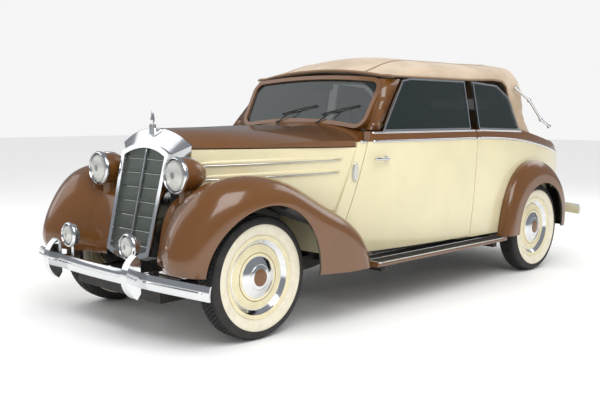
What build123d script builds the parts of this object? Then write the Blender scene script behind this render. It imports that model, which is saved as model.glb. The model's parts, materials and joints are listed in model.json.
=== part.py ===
from build123d import *
import os
from math import atan2, cos, degrees, radians, sin

# Driving sizes, in millimetres. +Z is up, the front faces -Y and +X is the car's left side.
# The origin lies on the ground, under the middle of the overall box.
WHEELBASE = 2845.0
FRONT_AXLE_Y = -1587.5
REAR_AXLE_Y = FRONT_AXLE_Y + WHEELBASE
HALF_WIDTH = 842.0
HALF_LENGTH = 2227.5
HEIGHT = 1610.0
FRONT_HALF_TRACK = 657.5
REAR_HALF_TRACK = 710.0
SEAM = 0.5
DOOR_GAP = 6.0
OVERRUN = 60.0

# Tyre, rim and hub of each road wheel.
TYRE_RADIUS = 338.0
TYRE_HALF_WIDTH = 72.0
CAP_RADIUS = 112.0
HUB_RADIUS = 46.0
HUB_INNER_OFFSET = 44.0
AXLE_BORE_RADIUS = 16.0
RUNNING_CLEARANCE = 0.06
BORE_DEPTH = 62.0

# Body panels.
WALL = 45.0
SKIN = 12.0
HOOD_SKIN = 14.0
SILL_BOTTOM_Z = 345.0
WAIST_Z = 700.0
BELT_Z = 1042.0
SILL_TOP_Z = 1100.0
SILL_INSET = 20.0
FLOOR_THICKNESS = 14.0


def at(share):
    """Y of a place given as a share of the wheelbase behind the front axle."""
    return FRONT_AXLE_Y + share * WHEELBASE


def wide(share):
    return share * HALF_WIDTH


def high(share):
    return share * HEIGHT


def cross_plane(y):
    """Upright plane across the car: sketch x is the car's X, sketch y is Z."""
    return Plane(origin=(0, y, 0), x_dir=(1, 0, 0), z_dir=(0, -1, 0))


def side_plane(x):
    """Upright plane along the car: sketch x is the car's Y, sketch y is Z."""
    return Plane(origin=(x, 0, 0), x_dir=(0, 1, 0), z_dir=(1, 0, 0))


def fan_plane(y, z, angle):
    """Plane that holds a line along X through y, z; its sketch y points up from the front by angle."""
    turn = radians(angle)
    return Plane(origin=(0, y, z), x_dir=(1, 0, 0), z_dir=(0, -sin(turn), -cos(turn)))


def outline(plane, points):
    """Face with straight edges through the points."""
    with BuildSketch(plane) as sketch:
        with BuildLine():
            Polyline(*points, close=True)
        make_face()
    return sketch.sketch


def side_cut(points, reach_low, reach_high, grow=0):
    """Solid with a side-view outline from one X to another, its edges moved outward by grow."""
    with BuildPart() as cut:
        with BuildSketch(side_plane(reach_low)):
            with BuildLine():
                Polyline(*points, close=True)
            make_face()
            if grow:
                offset(amount=grow, kind=Kind.INTERSECTION)
        extrude(amount=reach_high - reach_low)
    return cut.part


def finish(part, label):
    part.label = label
    export_step(part, "parts/" + label + ".step")


os.makedirs("parts", exist_ok=True)

# Outer skin of the cabin and tail, as upright sections.
# Columns: share of the wheelbase, then belt, waist and bottom as shares of the half width.
TUB_SHARES = (
    (0.200, 0.770, 0.745, 0.690),
    (0.351, 0.856, 0.836, 0.766),
    (0.527, 0.881, 0.873, 0.831),
    (0.721, 0.889, 0.888, 0.867),
    (0.914, 0.877, 0.881, 0.865),
    (1.090, 0.819, 0.822, 0.800),
    (1.213, 0.720, 0.722, 0.700),
    (1.310, 0.560, 0.562, 0.545),
)


def tub_section(row, inset, top_z, low_z):
    share, belt, waist, bottom = row
    belt_x = wide(belt) - inset
    sill_x = belt_x - SILL_INSET
    with BuildSketch(cross_plane(at(share))) as sketch:
        with BuildLine():
            Line((-wide(bottom) + inset, low_z), (wide(bottom) - inset, low_z))
            ThreePointArc((wide(bottom) - inset, low_z), (wide(waist) - inset, WAIST_Z), (belt_x, BELT_Z))
            Line((belt_x, BELT_Z), (sill_x, top_z))
            Line((sill_x, top_z), (-sill_x, top_z))
            Line((-sill_x, top_z), (-belt_x, BELT_Z))
            ThreePointArc((-belt_x, BELT_Z), (-wide(waist) + inset, WAIST_Z), (-wide(bottom) + inset, low_z))
        make_face()
    return sketch.sketch


def tub_block(inset, top_z=SILL_TOP_Z, low_z=SILL_BOTTOM_Z):
    """Solid inside the cabin's outer skin, moved inward by an inset."""
    with BuildPart() as block:
        loft(sections=[tub_section(row, inset, top_z, low_z) for row in TUB_SHARES])
    return block.part


# Side view of the body's top and tail: share of the wheelbase, share of the height.
BODY_TOP_SHARES = (
    (0.190, 0.6500), (0.316, 0.6500), (0.320, 0.6832), (0.745, 0.6832),
    (0.945, 0.6733), (1.111, 0.6220), (1.133, 0.6180),
)
TAIL_ARC_SHARES = ((1.133, 0.618), (1.233, 0.530), (1.283, 0.350))
TAIL_FOOT_SHARES = (1.287, 0.190)
DECK_FRONT_SHARE = 1.050
PANEL = 26.0


def body_profile(inset):
    """Side-view face of the body below its top line, moved inward by an inset at the tail."""
    top = [(at(y), high(z)) for y, z in BODY_TOP_SHARES]
    arc = [(at(y), high(z)) for y, z in TAIL_ARC_SHARES]
    foot = (at(TAIL_FOOT_SHARES[0]) - inset, high(TAIL_FOOT_SHARES[1]) - inset)
    if inset:
        deck_z = high(0.641) - inset
        top = [(top[0][0] - OVERRUN, SILL_TOP_Z + OVERRUN), (at(DECK_FRONT_SHARE), SILL_TOP_Z + OVERRUN),
               (at(DECK_FRONT_SHARE), deck_z), (arc[0][0] - inset, arc[0][1] - inset)]
        arc = [(y - inset, z - inset / 2) for y, z in arc]
        arc[0] = top[-1]
    with BuildSketch(side_plane(-HALF_WIDTH - OVERRUN)) as sketch:
        with BuildLine():
            Polyline(*top)
            ThreePointArc(*arc)
            Polyline(arc[-1], foot, (top[0][0], foot[1]), top[0])
        make_face()
    return sketch.sketch


FULL_SPAN = 2 * (HALF_WIDTH + OVERRUN)
with BuildPart() as tub_outer:
    add(tub_block(0, SILL_TOP_Z + OVERRUN, SILL_BOTTOM_Z))
    extrude(body_profile(0), amount=FULL_SPAN, mode=Mode.INTERSECT)
with BuildPart() as tub_cavity:
    add(tub_block(WALL, SILL_TOP_Z + 2 * OVERRUN, SILL_BOTTOM_Z - OVERRUN))
    extrude(body_profile(PANEL), amount=FULL_SPAN, mode=Mode.INTERSECT)
with BuildPart() as tub_shell:
    add(tub_outer.part)
    add(tub_cavity.part, mode=Mode.SUBTRACT)

# Door outline in the side view: share of the wheelbase, share of the height.
DOOR_SHARES = (
    (0.3225, 0.740), (0.3125, 0.650), (0.2600, 0.305), (0.3050, 0.2185),
    (0.6985, 0.2185), (0.7130, 0.635), (0.7135, 0.740),
)
DOOR_OUTLINE = [(at(y), high(z)) for y, z in DOOR_SHARES]

# Cut between the hood side and the cowl, in the side view.
COWL_CUT_SHARES = ((0.285, 0.655), (0.2375, 0.373), (0.2245, 0.200))
cowl_front = [(at(y), high(z)) for y, z in COWL_CUT_SHARES]

# Hood and cowl top: share of the wheelbase, belt x, belt z, then crown x, z and ridge z.
HOOD_SHARES = (
    (-0.051, 0.387, 0.6400, 0.220, 0.6810, 0.6970),
    (0.116, 0.640, 0.6440, 0.340, 0.6840, 0.6990),
    (0.285, 0.829, 0.6500, 0.430, 0.6880, 0.7020),
    (0.330, 0.846, 0.6480, 0.440, 0.6940, 0.7060),
    (0.368, 0.850, 0.6480, 0.450, 0.7010, 0.7160),
)
HINGE_STRIP_HALF = 9.0


def hood_section(row, sink, inner_x, deep):
    """Half section under the hood's top skin, from inner_x out to the belt."""
    share, belt_x, belt_z, crown_x, crown_z, ridge_z = row
    with BuildSketch(cross_plane(at(share))) as sketch:
        with BuildLine():
            ThreePointArc((inner_x, high(ridge_z) - sink), (wide(crown_x), high(crown_z) - sink),
                          (wide(belt_x) - sink / 2, high(belt_z) - sink))
            Polyline((wide(belt_x) - sink / 2, high(belt_z) - sink), (wide(belt_x) - sink / 2, deep),
                     (inner_x, deep), (inner_x, high(ridge_z) - sink))
        make_face()
    return sketch.sketch


def hood_block(rows, sink, inner_x, deep):
    with BuildPart() as block:
        loft(sections=[hood_section(row, sink, inner_x, deep) for row in rows])
    return block.part


# Plan of the hood's rear edge: share of the wheelbase at the middle and at the side.
HOOD_REAR_PLAN_SHARES = (0.338, 0.328, 0.2760)
HOOD_CUT_LOW_SHARE = 0.60


def plan_behind(shift):
    """Upright block behind the hood's rear edge."""
    low_z = high(HOOD_CUT_LOW_SHARE)
    middle, half_way, side = [at(share) + shift for share in HOOD_REAR_PLAN_SHARES]
    with BuildPart() as block:
        with BuildSketch(Plane.XY.offset(low_z)):
            with BuildLine():
                ThreePointArc((0, middle), (wide(0.43), half_way), (wide(0.834), side))
                Polyline((wide(0.834), side), (HALF_WIDTH + OVERRUN, side), (HALF_WIDTH + OVERRUN, HALF_LENGTH),
                         (0, HALF_LENGTH), (0, middle))
            make_face()
        extrude(amount=high(0.25))
    return block.part


hood_deep = high(0.600)
with BuildPart() as hood_half:
    add(hood_block(HOOD_SHARES, 0, HINGE_STRIP_HALF + DOOR_GAP, high(0.630)))
    add(hood_block(HOOD_SHARES, HOOD_SKIN, HINGE_STRIP_HALF + DOOR_GAP - OVERRUN, hood_deep - OVERRUN),
        mode=Mode.SUBTRACT)
    add(plan_behind(0), mode=Mode.SUBTRACT)
for side_name, side in (("left", 1), ("right", -1)):
    with BuildPart() as hood_piece:
        add(hood_half.part if side > 0 else hood_half.part.mirror(Plane.YZ))
    finish(hood_piece.part, "hood_" + side_name)

# Cowl: side walls ahead of the doors, the top up to the windscreen and the bulkhead.
BULKHEAD_Y = at(0.262)
BULKHEAD_THICKNESS = 12.0
COWL_TOP_SKIN = 16.0
with BuildPart() as door_space:
    add(side_cut(DOOR_OUTLINE, 0, HALF_WIDTH + OVERRUN, DOOR_GAP))
    add(tub_block(WALL + DOOR_GAP, SILL_TOP_Z + 2 * OVERRUN, SILL_BOTTOM_Z - OVERRUN), mode=Mode.SUBTRACT)
door_room = door_space.part
ahead_of_door = [cowl_front[0], cowl_front[1], cowl_front[2], (at(0.330), cowl_front[2][1]),
                 (at(0.330), cowl_front[0][1])]
with BuildPart() as cowl:
    add(tub_shell.part)
    add(side_cut(ahead_of_door, -HALF_WIDTH - OVERRUN, HALF_WIDTH + OVERRUN), mode=Mode.INTERSECT)
    with BuildPart(mode=Mode.PRIVATE) as cowl_top:
        add(hood_block(HOOD_SHARES[2:], 0, 0, high(0.640)))
        add(hood_block(HOOD_SHARES[2:], COWL_TOP_SKIN, -OVERRUN, hood_deep), mode=Mode.SUBTRACT)
        add(plan_behind(DOOR_GAP), mode=Mode.INTERSECT)
        mirror(about=Plane.YZ)
    add(cowl_top.part)
    with BuildPart(mode=Mode.PRIVATE) as bulkhead:
        add(tub_block(WALL / 2, high(0.625)))
        with BuildSketch(cross_plane(BULKHEAD_Y + BULKHEAD_THICKNESS)):
            Rectangle(2 * HALF_WIDTH, 2 * HEIGHT)
        extrude(amount=BULKHEAD_THICKNESS, mode=Mode.INTERSECT)
        add(side_cut(ahead_of_door, -HALF_WIDTH, HALF_WIDTH), mode=Mode.INTERSECT)
    add(bulkhead.part)
    add(door_room, mode=Mode.SUBTRACT)
    add(door_room.mirror(Plane.YZ), mode=Mode.SUBTRACT)
with BuildPart() as hood_room:
    with BuildSketch(Plane.XY.offset(high(0.626))):
        with Locations((0, at(0.25))):
            Rectangle(HALF_WIDTH + OVERRUN, WHEELBASE / 3, align=(Align.MIN, Align.MAX))
        with Locations((0, at(0.25))):
            Rectangle(HALF_WIDTH + OVERRUN, WHEELBASE / 3, align=(Align.MIN, Align.MIN))
    extrude(amount=HEIGHT / 4)
    add(plan_behind(DOOR_GAP), mode=Mode.SUBTRACT)
    mirror(about=Plane.YZ)
with BuildPart() as hinge_strip:
    add(hood_block(HOOD_SHARES, 0, 0, high(0.630)))
    add(hood_block(HOOD_SHARES, HOOD_SKIN, -OVERRUN, hood_deep), mode=Mode.SUBTRACT)
    with BuildSketch(Plane.XY):
        with Locations((0, at(-0.051) + SEAM)):
            Rectangle(HINGE_STRIP_HALF, at(0.345) - at(-0.051), align=(Align.MIN, Align.MIN))
    extrude(amount=HEIGHT, mode=Mode.INTERSECT)
    mirror(about=Plane.YZ)
COLUMN_X = 345.0
WHEEL_CENTRE_Y = at(0.4400)
WHEEL_CENTRE_Z = 1078.0
COLUMN_RAKE = 32.0
COLUMN_RADIUS = 22.0
COLUMN_LENGTH = 700.0
column_turn = radians(COLUMN_RAKE)
wheel_plane = Plane(origin=(COLUMN_X, WHEEL_CENTRE_Y, WHEEL_CENTRE_Z), x_dir=(1, 0, 0),
                    z_dir=(0, cos(column_turn), sin(column_turn)))
with BuildPart() as column_hole:
    with BuildSketch(wheel_plane):
        Circle(COLUMN_RADIUS + SEAM)
    extrude(amount=-2 * COLUMN_LENGTH)
with BuildPart() as cowl_bored:
    add(cowl.part)
    add(hood_room.part, mode=Mode.SUBTRACT)
    add(hinge_strip.part)
    add(column_hole.part, mode=Mode.SUBTRACT)
finish(cowl_bored.part, "cowl")

# Doors, cut from the same skin, with a half hinge barrel on each piece.
with BuildPart() as door_half:
    add(tub_shell.part)
    add(side_cut(DOOR_OUTLINE, 0, HALF_WIDTH + OVERRUN), mode=Mode.INTERSECT)
for side_name, side in (("left", 1), ("right", -1)):
    with BuildPart() as door:
        add(door_half.part if side > 0 else door_half.part.mirror(Plane.YZ))
    finish(door.part, "door_" + side_name)

# Side glass leans inward from the sill to the roof.
GLASS_THICKNESS = 5.0
GLASS_LOW_X = 695.0
GLASS_HIGH_X = 631.0
GLASS_LOW_Z = 1108.0
GLASS_HIGH_Z = 1438.0
glass_lean = degrees(atan2(GLASS_LOW_X - GLASS_HIGH_X, GLASS_HIGH_Z - GLASS_LOW_Z))


def glass_slab(thickness, side):
    """Thin leaning slab in the plane of the side glass."""
    turn = radians(glass_lean)
    plane = Plane(origin=(side * GLASS_LOW_X, 0, GLASS_LOW_Z), x_dir=(0, 1, 0),
                  z_dir=(side * cos(turn), 0, sin(turn)))
    with BuildPart() as slab:
        with BuildSketch(plane):
            Rectangle(2 * HALF_LENGTH, 2 * HEIGHT)
        extrude(amount=thickness / 2, both=True)
    return slab.part


# Outline of each pane in the side view: share of the wheelbase, share of the height.
DOOR_GLASS_SHARES = ((0.3630, 0.6835), (0.4580, 0.8830), (0.4900, 0.8925), (0.7080, 0.8925), (0.7080, 0.6835))
QUARTER_GLASS_SHARES = ((0.7450, 0.6837), (0.7440, 0.8925), (0.8560, 0.8800), (0.9080, 0.8250), (0.9400, 0.6740))
FRAME_WIDTH = 22.0
FRAME_DEPTH = 16.0
GLASS_BED = 6.0


def pane(shares, side, low_z=0.0):
    """Glass pane, its frame and the gap between them, in the plane of the side glass."""
    points = [(at(y), high(z)) for y, z in shares]
    reach = (0, HALF_WIDTH) if side > 0 else (-HALF_WIDTH, 0)
    with BuildPart() as glass:
        add(glass_slab(GLASS_THICKNESS, side))
        add(side_cut(points, *reach, grow=-FRAME_WIDTH / 2), mode=Mode.INTERSECT)
    with BuildPart() as frame:
        add(glass_slab(FRAME_DEPTH, side))
        add(side_cut(points, *reach), mode=Mode.INTERSECT)
        add(side_cut(points, *reach, grow=-FRAME_WIDTH / 2), mode=Mode.SUBTRACT)
    return glass.part, frame.part


for side_name, side in (("left", 1), ("right", -1)):
    door_glass, door_frame = pane(DOOR_GLASS_SHARES, side)
    finish(door_glass, "door_" + side_name + "_glass")
    finish(door_frame, "door_" + side_name + "_frame")
quarter = [pane(QUARTER_GLASS_SHARES, side) for side in (1, -1)]
with BuildPart() as quarter_windows:
    for glass, frame in quarter:
        add(frame)
finish(quarter_windows.part, "quarter_windows")

# Rear body: quarter panels, deck, tail and the housings over the rear wheels.
REAR_HOUSING_RADIUS = 362.0
REAR_HOUSING_WALL = 10.0
REAR_HOUSING_X = 598.0
AXLE_Z = TYRE_RADIUS
AXLE_HOLE_RADIUS = 40.0
BOOT_HALF_TOP = 430.0
BOOT_HALF_LOW = 400.0
BOOT_TOP_Z = 975.0
BOOT_LOW_Z = 520.0
BOOT_CORNER = 60.0


def boot_outline(shrink):
    """Block behind the deck with the boot lid's rear-view outline."""
    with BuildPart() as block:
        with BuildSketch(cross_plane(HALF_LENGTH)):
            with BuildLine():
                Polyline((-BOOT_HALF_LOW, BOOT_LOW_Z), (BOOT_HALF_LOW, BOOT_LOW_Z), (BOOT_HALF_TOP, BOOT_TOP_Z),
                         (-BOOT_HALF_TOP, BOOT_TOP_Z), close=True)
            make_face()
            fillet(vertices(), radius=BOOT_CORNER)
            offset(amount=-shrink, kind=Kind.INTERSECTION)
        extrude(amount=HALF_LENGTH - at(DECK_FRONT_SHARE))
    return block.part


behind_door_y = at(0.650)
with BuildPart() as rear_housing:
    with BuildSketch(side_plane(REAR_HOUSING_X)):
        with Locations((REAR_AXLE_Y, AXLE_Z)):
            Circle(REAR_HOUSING_RADIUS + REAR_HOUSING_WALL)
    extrude(amount=HALF_WIDTH - REAR_HOUSING_X)
    with BuildSketch(side_plane(REAR_HOUSING_X + REAR_HOUSING_WALL)):
        with Locations((REAR_AXLE_Y, AXLE_Z)):
            Circle(REAR_HOUSING_RADIUS)
    extrude(amount=HALF_WIDTH, mode=Mode.SUBTRACT)
    mirror(about=Plane.YZ)
    add(tub_outer.part, mode=Mode.INTERSECT)
with BuildPart() as rear_arch:
    with BuildSketch(side_plane(REAR_HOUSING_X + REAR_HOUSING_WALL)):
        with Locations((REAR_AXLE_Y, AXLE_Z)):
            Circle(REAR_HOUSING_RADIUS)
    extrude(amount=HALF_WIDTH)
    mirror(about=Plane.YZ)
with BuildPart() as rear_body:
    add(tub_shell.part)
    with BuildSketch(cross_plane(behind_door_y)):
        Rectangle(2 * FULL_SPAN, 2 * HEIGHT + 2 * OVERRUN)
    extrude(amount=HALF_LENGTH, mode=Mode.SUBTRACT)
    add(door_room, mode=Mode.SUBTRACT)
    add(door_room.mirror(Plane.YZ), mode=Mode.SUBTRACT)
    add(rear_housing.part)
    add(rear_arch.part, mode=Mode.SUBTRACT)
    add(boot_outline(0), mode=Mode.SUBTRACT)
    with BuildSketch(side_plane(-HALF_WIDTH)):
        with Locations((REAR_AXLE_Y, AXLE_Z)):
            Circle(AXLE_HOLE_RADIUS)
    extrude(amount=2 * HALF_WIDTH, mode=Mode.SUBTRACT)
finish(rear_body.part, "rear_body")
with BuildPart() as boot_lid:
    add(tub_shell.part)
    add(boot_outline(DOOR_GAP), mode=Mode.INTERSECT)
finish(boot_lid.part, "boot_lid")

# Hood sides: cream panels between the radiator shell and the cowl, under the hood's belt edge.
# Columns: share of the wheelbase, top x, bulge x and bottom x as shares of the half width, bottom z share.
HOOD_SIDE_SHARES = (
    (-0.051, 0.387, 0.376, 0.360, 0.444),
    (0.116, 0.640, 0.632, 0.612, 0.444),
    (0.288, 0.831, 0.815, 0.780, 0.360),
)
HOOD_SIDE_TOP_Z = high(0.630) - DOOR_GAP
HOOD_SIDE_FOOT_SHARE = 0.20


def engine_room(grow, low_z):
    """Solid between the hood sides, moved outward by grow, down to low_z."""
    with BuildPart() as block:
        sections = []
        for share, top_x, bulge_x, bottom_x, bottom_z in HOOD_SIDE_SHARES:
            top = (wide(top_x) + grow, HOOD_SIDE_TOP_Z + max(grow, 0))
            bottom = (wide(bottom_x) + grow, high(bottom_z) - low_z)
            middle = (wide(bulge_x) + grow, (top[1] + bottom[1]) / 2)
            with BuildSketch(cross_plane(at(share))) as sketch:
                with BuildLine():
                    ThreePointArc(top, middle, bottom)
                    Polyline(bottom, (0, bottom[1]), (0, top[1]), top)
                make_face()
            sections.append(sketch.sketch)
        loft(sections=sections)
    return block.part


with BuildPart() as hood_sides:
    add(engine_room(0, 0))
    add(engine_room(-HOOD_SKIN, OVERRUN), mode=Mode.SUBTRACT)
    with BuildSketch(side_plane(0)):
        with BuildLine():
            Polyline((cowl_front[0][0], HEIGHT), *cowl_front, (HALF_LENGTH, cowl_front[-1][1]),
                     (HALF_LENGTH, HEIGHT), close=True)
        make_face()
        offset(amount=SEAM, kind=Kind.INTERSECTION)
    extrude(amount=HALF_WIDTH, mode=Mode.SUBTRACT)
    mirror(about=Plane.YZ)
finish(hood_sides.part, "hood_sides")

# A quarter of an ellipse and an S bend, as (share across, share of the drop) of two arcs each.
ROUND_SHARES = ((0.33, 0.056), (0.62, 0.215), (0.86, 0.490), (1.00, 1.000))
VALLEY_SHARES = ((0.25, 0.146), (0.50, 0.500), (0.75, 0.854), (1.00, 1.000))


def fender_section(centre, row, skin, base, reach_in):
    """Section of a fender on a fan plane: crown, rounded outer side and an S bend down to the body."""
    angle, inner_x, inner_r, crown_x, crown_r, outer_x, outer_r = row
    crown = (wide(crown_x), crown_r - skin)
    outer = (wide(outer_x) - skin, outer_r - skin)
    inner = (wide(inner_x), inner_r - skin)
    inward = inner[0] - reach_in
    base_line = [(outer[0], base), (inward, base), (inward, inner[1])][:3 if reach_in else 2]

    def shaped(end, shares):
        return [(crown[0] + u * (end[0] - crown[0]), crown[1] + v * (end[1] - crown[1])) for u, v in shares]

    rounded = shaped(outer, ROUND_SHARES)
    valley = shaped(inner, VALLEY_SHARES)
    with BuildSketch(fan_plane(*centre, angle)) as sketch:
        with BuildLine():
            ThreePointArc(crown, rounded[0], rounded[1])
            ThreePointArc(rounded[1], rounded[2], rounded[3])
            Polyline(rounded[3], *base_line, inner)
            ThreePointArc(inner, valley[2], valley[1])
            ThreePointArc(valley[1], valley[0], crown)
        make_face()
    return sketch.sketch


def fender_shell(centre, rows, base):
    with BuildPart() as shell:
        loft(sections=[fender_section(centre, row, 0, base, 0) for row in rows])
        with BuildPart(mode=Mode.PRIVATE) as hollow:
            loft(sections=[fender_section(centre, row, SKIN, base - OVERRUN, OVERRUN) for row in rows])
        add(hollow.part, mode=Mode.SUBTRACT)
    return shell.part


# Front fender, as sections on a fan about the arch. Columns: angle up from the front,
# inner x share and radius, crown x share and radius, outer x share and radius.
FRONT_FAN = (at(0), 350.0)
FRONT_FENDER = (
    (6, 0.300, 330, 0.715, 508, 0.890, 395),
    (18, 0.290, 335, 0.718, 545, 0.905, 400),
    (38, 0.290, 372, 0.710, 556, 0.940, 405),
    (60, 0.330, 450, 0.760, 566, 0.980, 405),
    (85, 0.430, 440, 0.800, 537, 1.000, 400),
    (112, 0.520, 410, 0.820, 521, 1.000, 400),
    (140, 0.600, 440, 0.850, 560, 0.998, 420),
    (162, 0.680, 590, 0.875, 710, 0.996, 560),
    (178, 0.740, 740, 0.885, 825, 0.994, 700),
    (184.5, 0.745, 770, 0.885, 848, 0.992, 740),
)
FRONT_ARCH = (at(-0.009), 365.0)
FRONT_ARCH_RADIUS = 372.0
FENDER_BASE = 300.0
FENDER_LOW_Z = 303.0
APRON_X = 392.0

with BuildPart() as front_fender_half:
    add(fender_shell(FRONT_FAN, FRONT_FENDER, FENDER_BASE))
    with BuildSketch(side_plane(APRON_X + OVERRUN)):
        with Locations(FRONT_ARCH):
            Circle(FRONT_ARCH_RADIUS)
    extrude(amount=HALF_WIDTH, mode=Mode.SUBTRACT)
    add(engine_room(SEAM, high(HOOD_SIDE_FOOT_SHARE)), mode=Mode.SUBTRACT)
    with BuildSketch(Plane.XY.offset(FENDER_LOW_Z)):
        Rectangle(2 * HALF_WIDTH + OVERRUN, 2 * HALF_LENGTH)
    extrude(amount=-HEIGHT, mode=Mode.SUBTRACT)
    with BuildPart(mode=Mode.PRIVATE) as body_side:
        add(tub_block(-SEAM))
        with BuildSketch(cross_plane(at(0.215))):
            Rectangle(2 * HALF_WIDTH, 2 * HEIGHT)
        extrude(amount=HALF_LENGTH, mode=Mode.SUBTRACT)
    add(body_side.part, mode=Mode.SUBTRACT)
with BuildPart() as front_fenders:
    add(front_fender_half.part)
    with BuildSketch(side_plane(APRON_X)):
        Rectangle(2 * HALF_LENGTH, 2 * HEIGHT)
    extrude(amount=-HALF_WIDTH, mode=Mode.SUBTRACT)
    mirror(about=Plane.YZ)
finish(front_fenders.part, "front_fenders")
with BuildPart() as nose_apron:
    add(front_fender_half.part)
    with BuildSketch(side_plane(APRON_X - SEAM)):
        Rectangle(2 * HALF_LENGTH, 2 * HEIGHT)
    extrude(amount=HALF_WIDTH, mode=Mode.SUBTRACT)
    mirror(about=Plane.YZ)
finish(nose_apron.part, "nose_apron")

# Rear fender, in the same way, about the rear axle.
REAR_FAN = (REAR_AXLE_Y, AXLE_Z)
REAR_FENDER = (
    (-3, 0.700, 480, 0.915, 508, 0.995, 420),
    (20, 0.700, 470, 0.915, 498, 1.000, 410),
    (48, 0.700, 495, 0.915, 527, 1.000, 405),
    (75, 0.690, 495, 0.915, 528, 1.000, 400),
    (100, 0.670, 465, 0.915, 503, 1.000, 395),
    (125, 0.640, 430, 0.905, 475, 1.000, 390),
    (155, 0.600, 410, 0.890, 455, 0.990, 385),
    (188, 0.580, 400, 0.870, 440, 0.970, 380),
)
REAR_ARCH_RADIUS = 346.0
REAR_FENDER_BASE = 300.0
REAR_FENDER_LOW_Z = 318.0
with BuildPart() as rear_fenders:
    add(fender_shell(REAR_FAN, REAR_FENDER, REAR_FENDER_BASE))
    with BuildSketch(side_plane(wide(0.6))):
        with Locations(REAR_FAN):
            Circle(REAR_ARCH_RADIUS)
    extrude(amount=HALF_WIDTH, mode=Mode.SUBTRACT)
    with BuildPart(mode=Mode.PRIVATE) as body_form:
        add(tub_block(-SEAM, SILL_TOP_Z + OVERRUN, SILL_BOTTOM_Z - OVERRUN))
        with BuildSketch(cross_plane(at(1.29))):
            Rectangle(2 * HALF_WIDTH, 2 * HEIGHT)
        extrude(amount=-HALF_LENGTH, mode=Mode.SUBTRACT)
    add(body_form.part, mode=Mode.SUBTRACT)
    with BuildSketch(Plane.XY.offset(REAR_FENDER_LOW_Z)):
        Rectangle(2 * HALF_WIDTH + OVERRUN, 2 * HALF_LENGTH)
    extrude(amount=-HEIGHT, mode=Mode.SUBTRACT)
    mirror(about=Plane.YZ)
finish(rear_fenders.part, "rear_fenders")

# Radiator shell: a chrome surround that leans back, with the grille inside it.
# Columns of its front edge: half width and height, down one side, then the lean of that edge.
SHELL_FRONT_HALF = 224.0
SHELL_TOP_Z = 1040.0
SHELL_SHOULDER_Z = 985.0
SHELL_FOOT_HALF = 205.0
SHELL_FOOT_Z = 430.0
SHELL_TIP_Z = 392.0
SHELL_TOP_Y = at(-0.076)
SHELL_FOOT_Y = at(-0.126)
SHELL_EDGE = 30.0
SHELL_DEPTH = 70.0
SHELL_REAR_Y = at(-0.0515)
shell_lean = degrees(atan2(SHELL_TOP_Y - SHELL_FOOT_Y, SHELL_TOP_Z - SHELL_FOOT_Z))


def shell_front(shrink, depth_start, depth):
    """Leaning slab with the shell's front outline, its edges moved inward by shrink."""
    turn = radians(shell_lean)
    plane = Plane(origin=(0, SHELL_FOOT_Y, SHELL_FOOT_Z), x_dir=(1, 0, 0), z_dir=(0, -cos(turn), sin(turn)))
    rise = (SHELL_TOP_Z - SHELL_FOOT_Z) / cos(turn)
    shoulder = (SHELL_SHOULDER_Z - SHELL_FOOT_Z) / cos(turn)
    tip = (SHELL_TIP_Z - SHELL_FOOT_Z) / cos(turn)
    with BuildPart() as slab:
        with BuildSketch(plane.offset(-depth_start)):
            with BuildLine():
                ThreePointArc((-SHELL_FRONT_HALF, shoulder), (0, rise), (SHELL_FRONT_HALF, shoulder))
                Line((SHELL_FRONT_HALF, shoulder), (SHELL_FOOT_HALF, 0))
                ThreePointArc((SHELL_FOOT_HALF, 0), (0, tip), (-SHELL_FOOT_HALF, 0))
                Line((-SHELL_FOOT_HALF, 0), (-SHELL_FRONT_HALF, shoulder))
            make_face()
            if shrink:
                offset(amount=-shrink, kind=Kind.INTERSECTION)
        extrude(amount=-depth)
    return slab.part


ROOF_START = 15.0
ROOF_DROP = 4.5
# Filler cap and a plain tapered finial on the shell.
FINIAL_Y = at(-0.053) - 20.0
FILLER_RADIUS = 19.0
CAP_LOW_Z = 1085.0
CAP_TOP_Z = 1142.0
FINIAL_RISE = 80.0
FINIAL_RADIUS = 12.0
with BuildPart() as radiator_shell:
    add(shell_front(0, 0, SHELL_DEPTH))
    with BuildPart(mode=Mode.PRIVATE) as shell_roof:
        with BuildSketch(cross_plane(SHELL_REAR_Y - SEAM)):
            with BuildLine():
                ThreePointArc((-wide(0.387), high(0.640)), (0, high(0.697)), (wide(0.387), high(0.640)))
                Polyline((wide(0.387), high(0.640)), (wide(0.372), high(0.585)), (-wide(0.372), high(0.585)),
                         (-wide(0.387), high(0.640)))
            make_face()
        with BuildSketch(cross_plane(SHELL_TOP_Y + ROOF_START)):
            with BuildLine():
                half = SHELL_FRONT_HALF - SEAM
                shoulder_z = SHELL_SHOULDER_Z - ROOF_DROP
                ThreePointArc((-half, shoulder_z), (0, SHELL_TOP_Z - ROOF_DROP), (half, shoulder_z))
                Polyline((half, shoulder_z), (half, high(0.585)), (-half, high(0.585)), (-half, shoulder_z))
            make_face()
        loft()
    add(shell_roof.part)
    add(shell_front(SHELL_EDGE, -OVERRUN, SHELL_DEPTH + 2 * OVERRUN), mode=Mode.SUBTRACT)
    with BuildSketch(Plane.XY.offset(CAP_LOW_Z)):
        with Locations((0, FINIAL_Y)):
            Circle(FILLER_RADIUS)
    extrude(amount=CAP_TOP_Z - CAP_LOW_Z)
    with BuildSketch(Plane(origin=(0, FINIAL_Y, CAP_TOP_Z), x_dir=(0, 1, 0), z_dir=(1, 0, 0))):
        with BuildLine():
            Polyline((0, -SEAM), (0, FINIAL_RISE), (FINIAL_RADIUS / 4, FINIAL_RISE))
            ThreePointArc((FINIAL_RADIUS / 4, FINIAL_RISE), (FINIAL_RADIUS * 0.85, FINIAL_RISE * 0.6),
                          (FINIAL_RADIUS, FINIAL_RISE * 0.3))
            Polyline((FINIAL_RADIUS, FINIAL_RISE * 0.3), (FINIAL_RADIUS / 2, -SEAM), (0, -SEAM))
        make_face()
    revolve(axis=Axis((0, FINIAL_Y, 0), (0, 0, 1)))
finish(radiator_shell.part, "radiator_shell")

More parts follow.
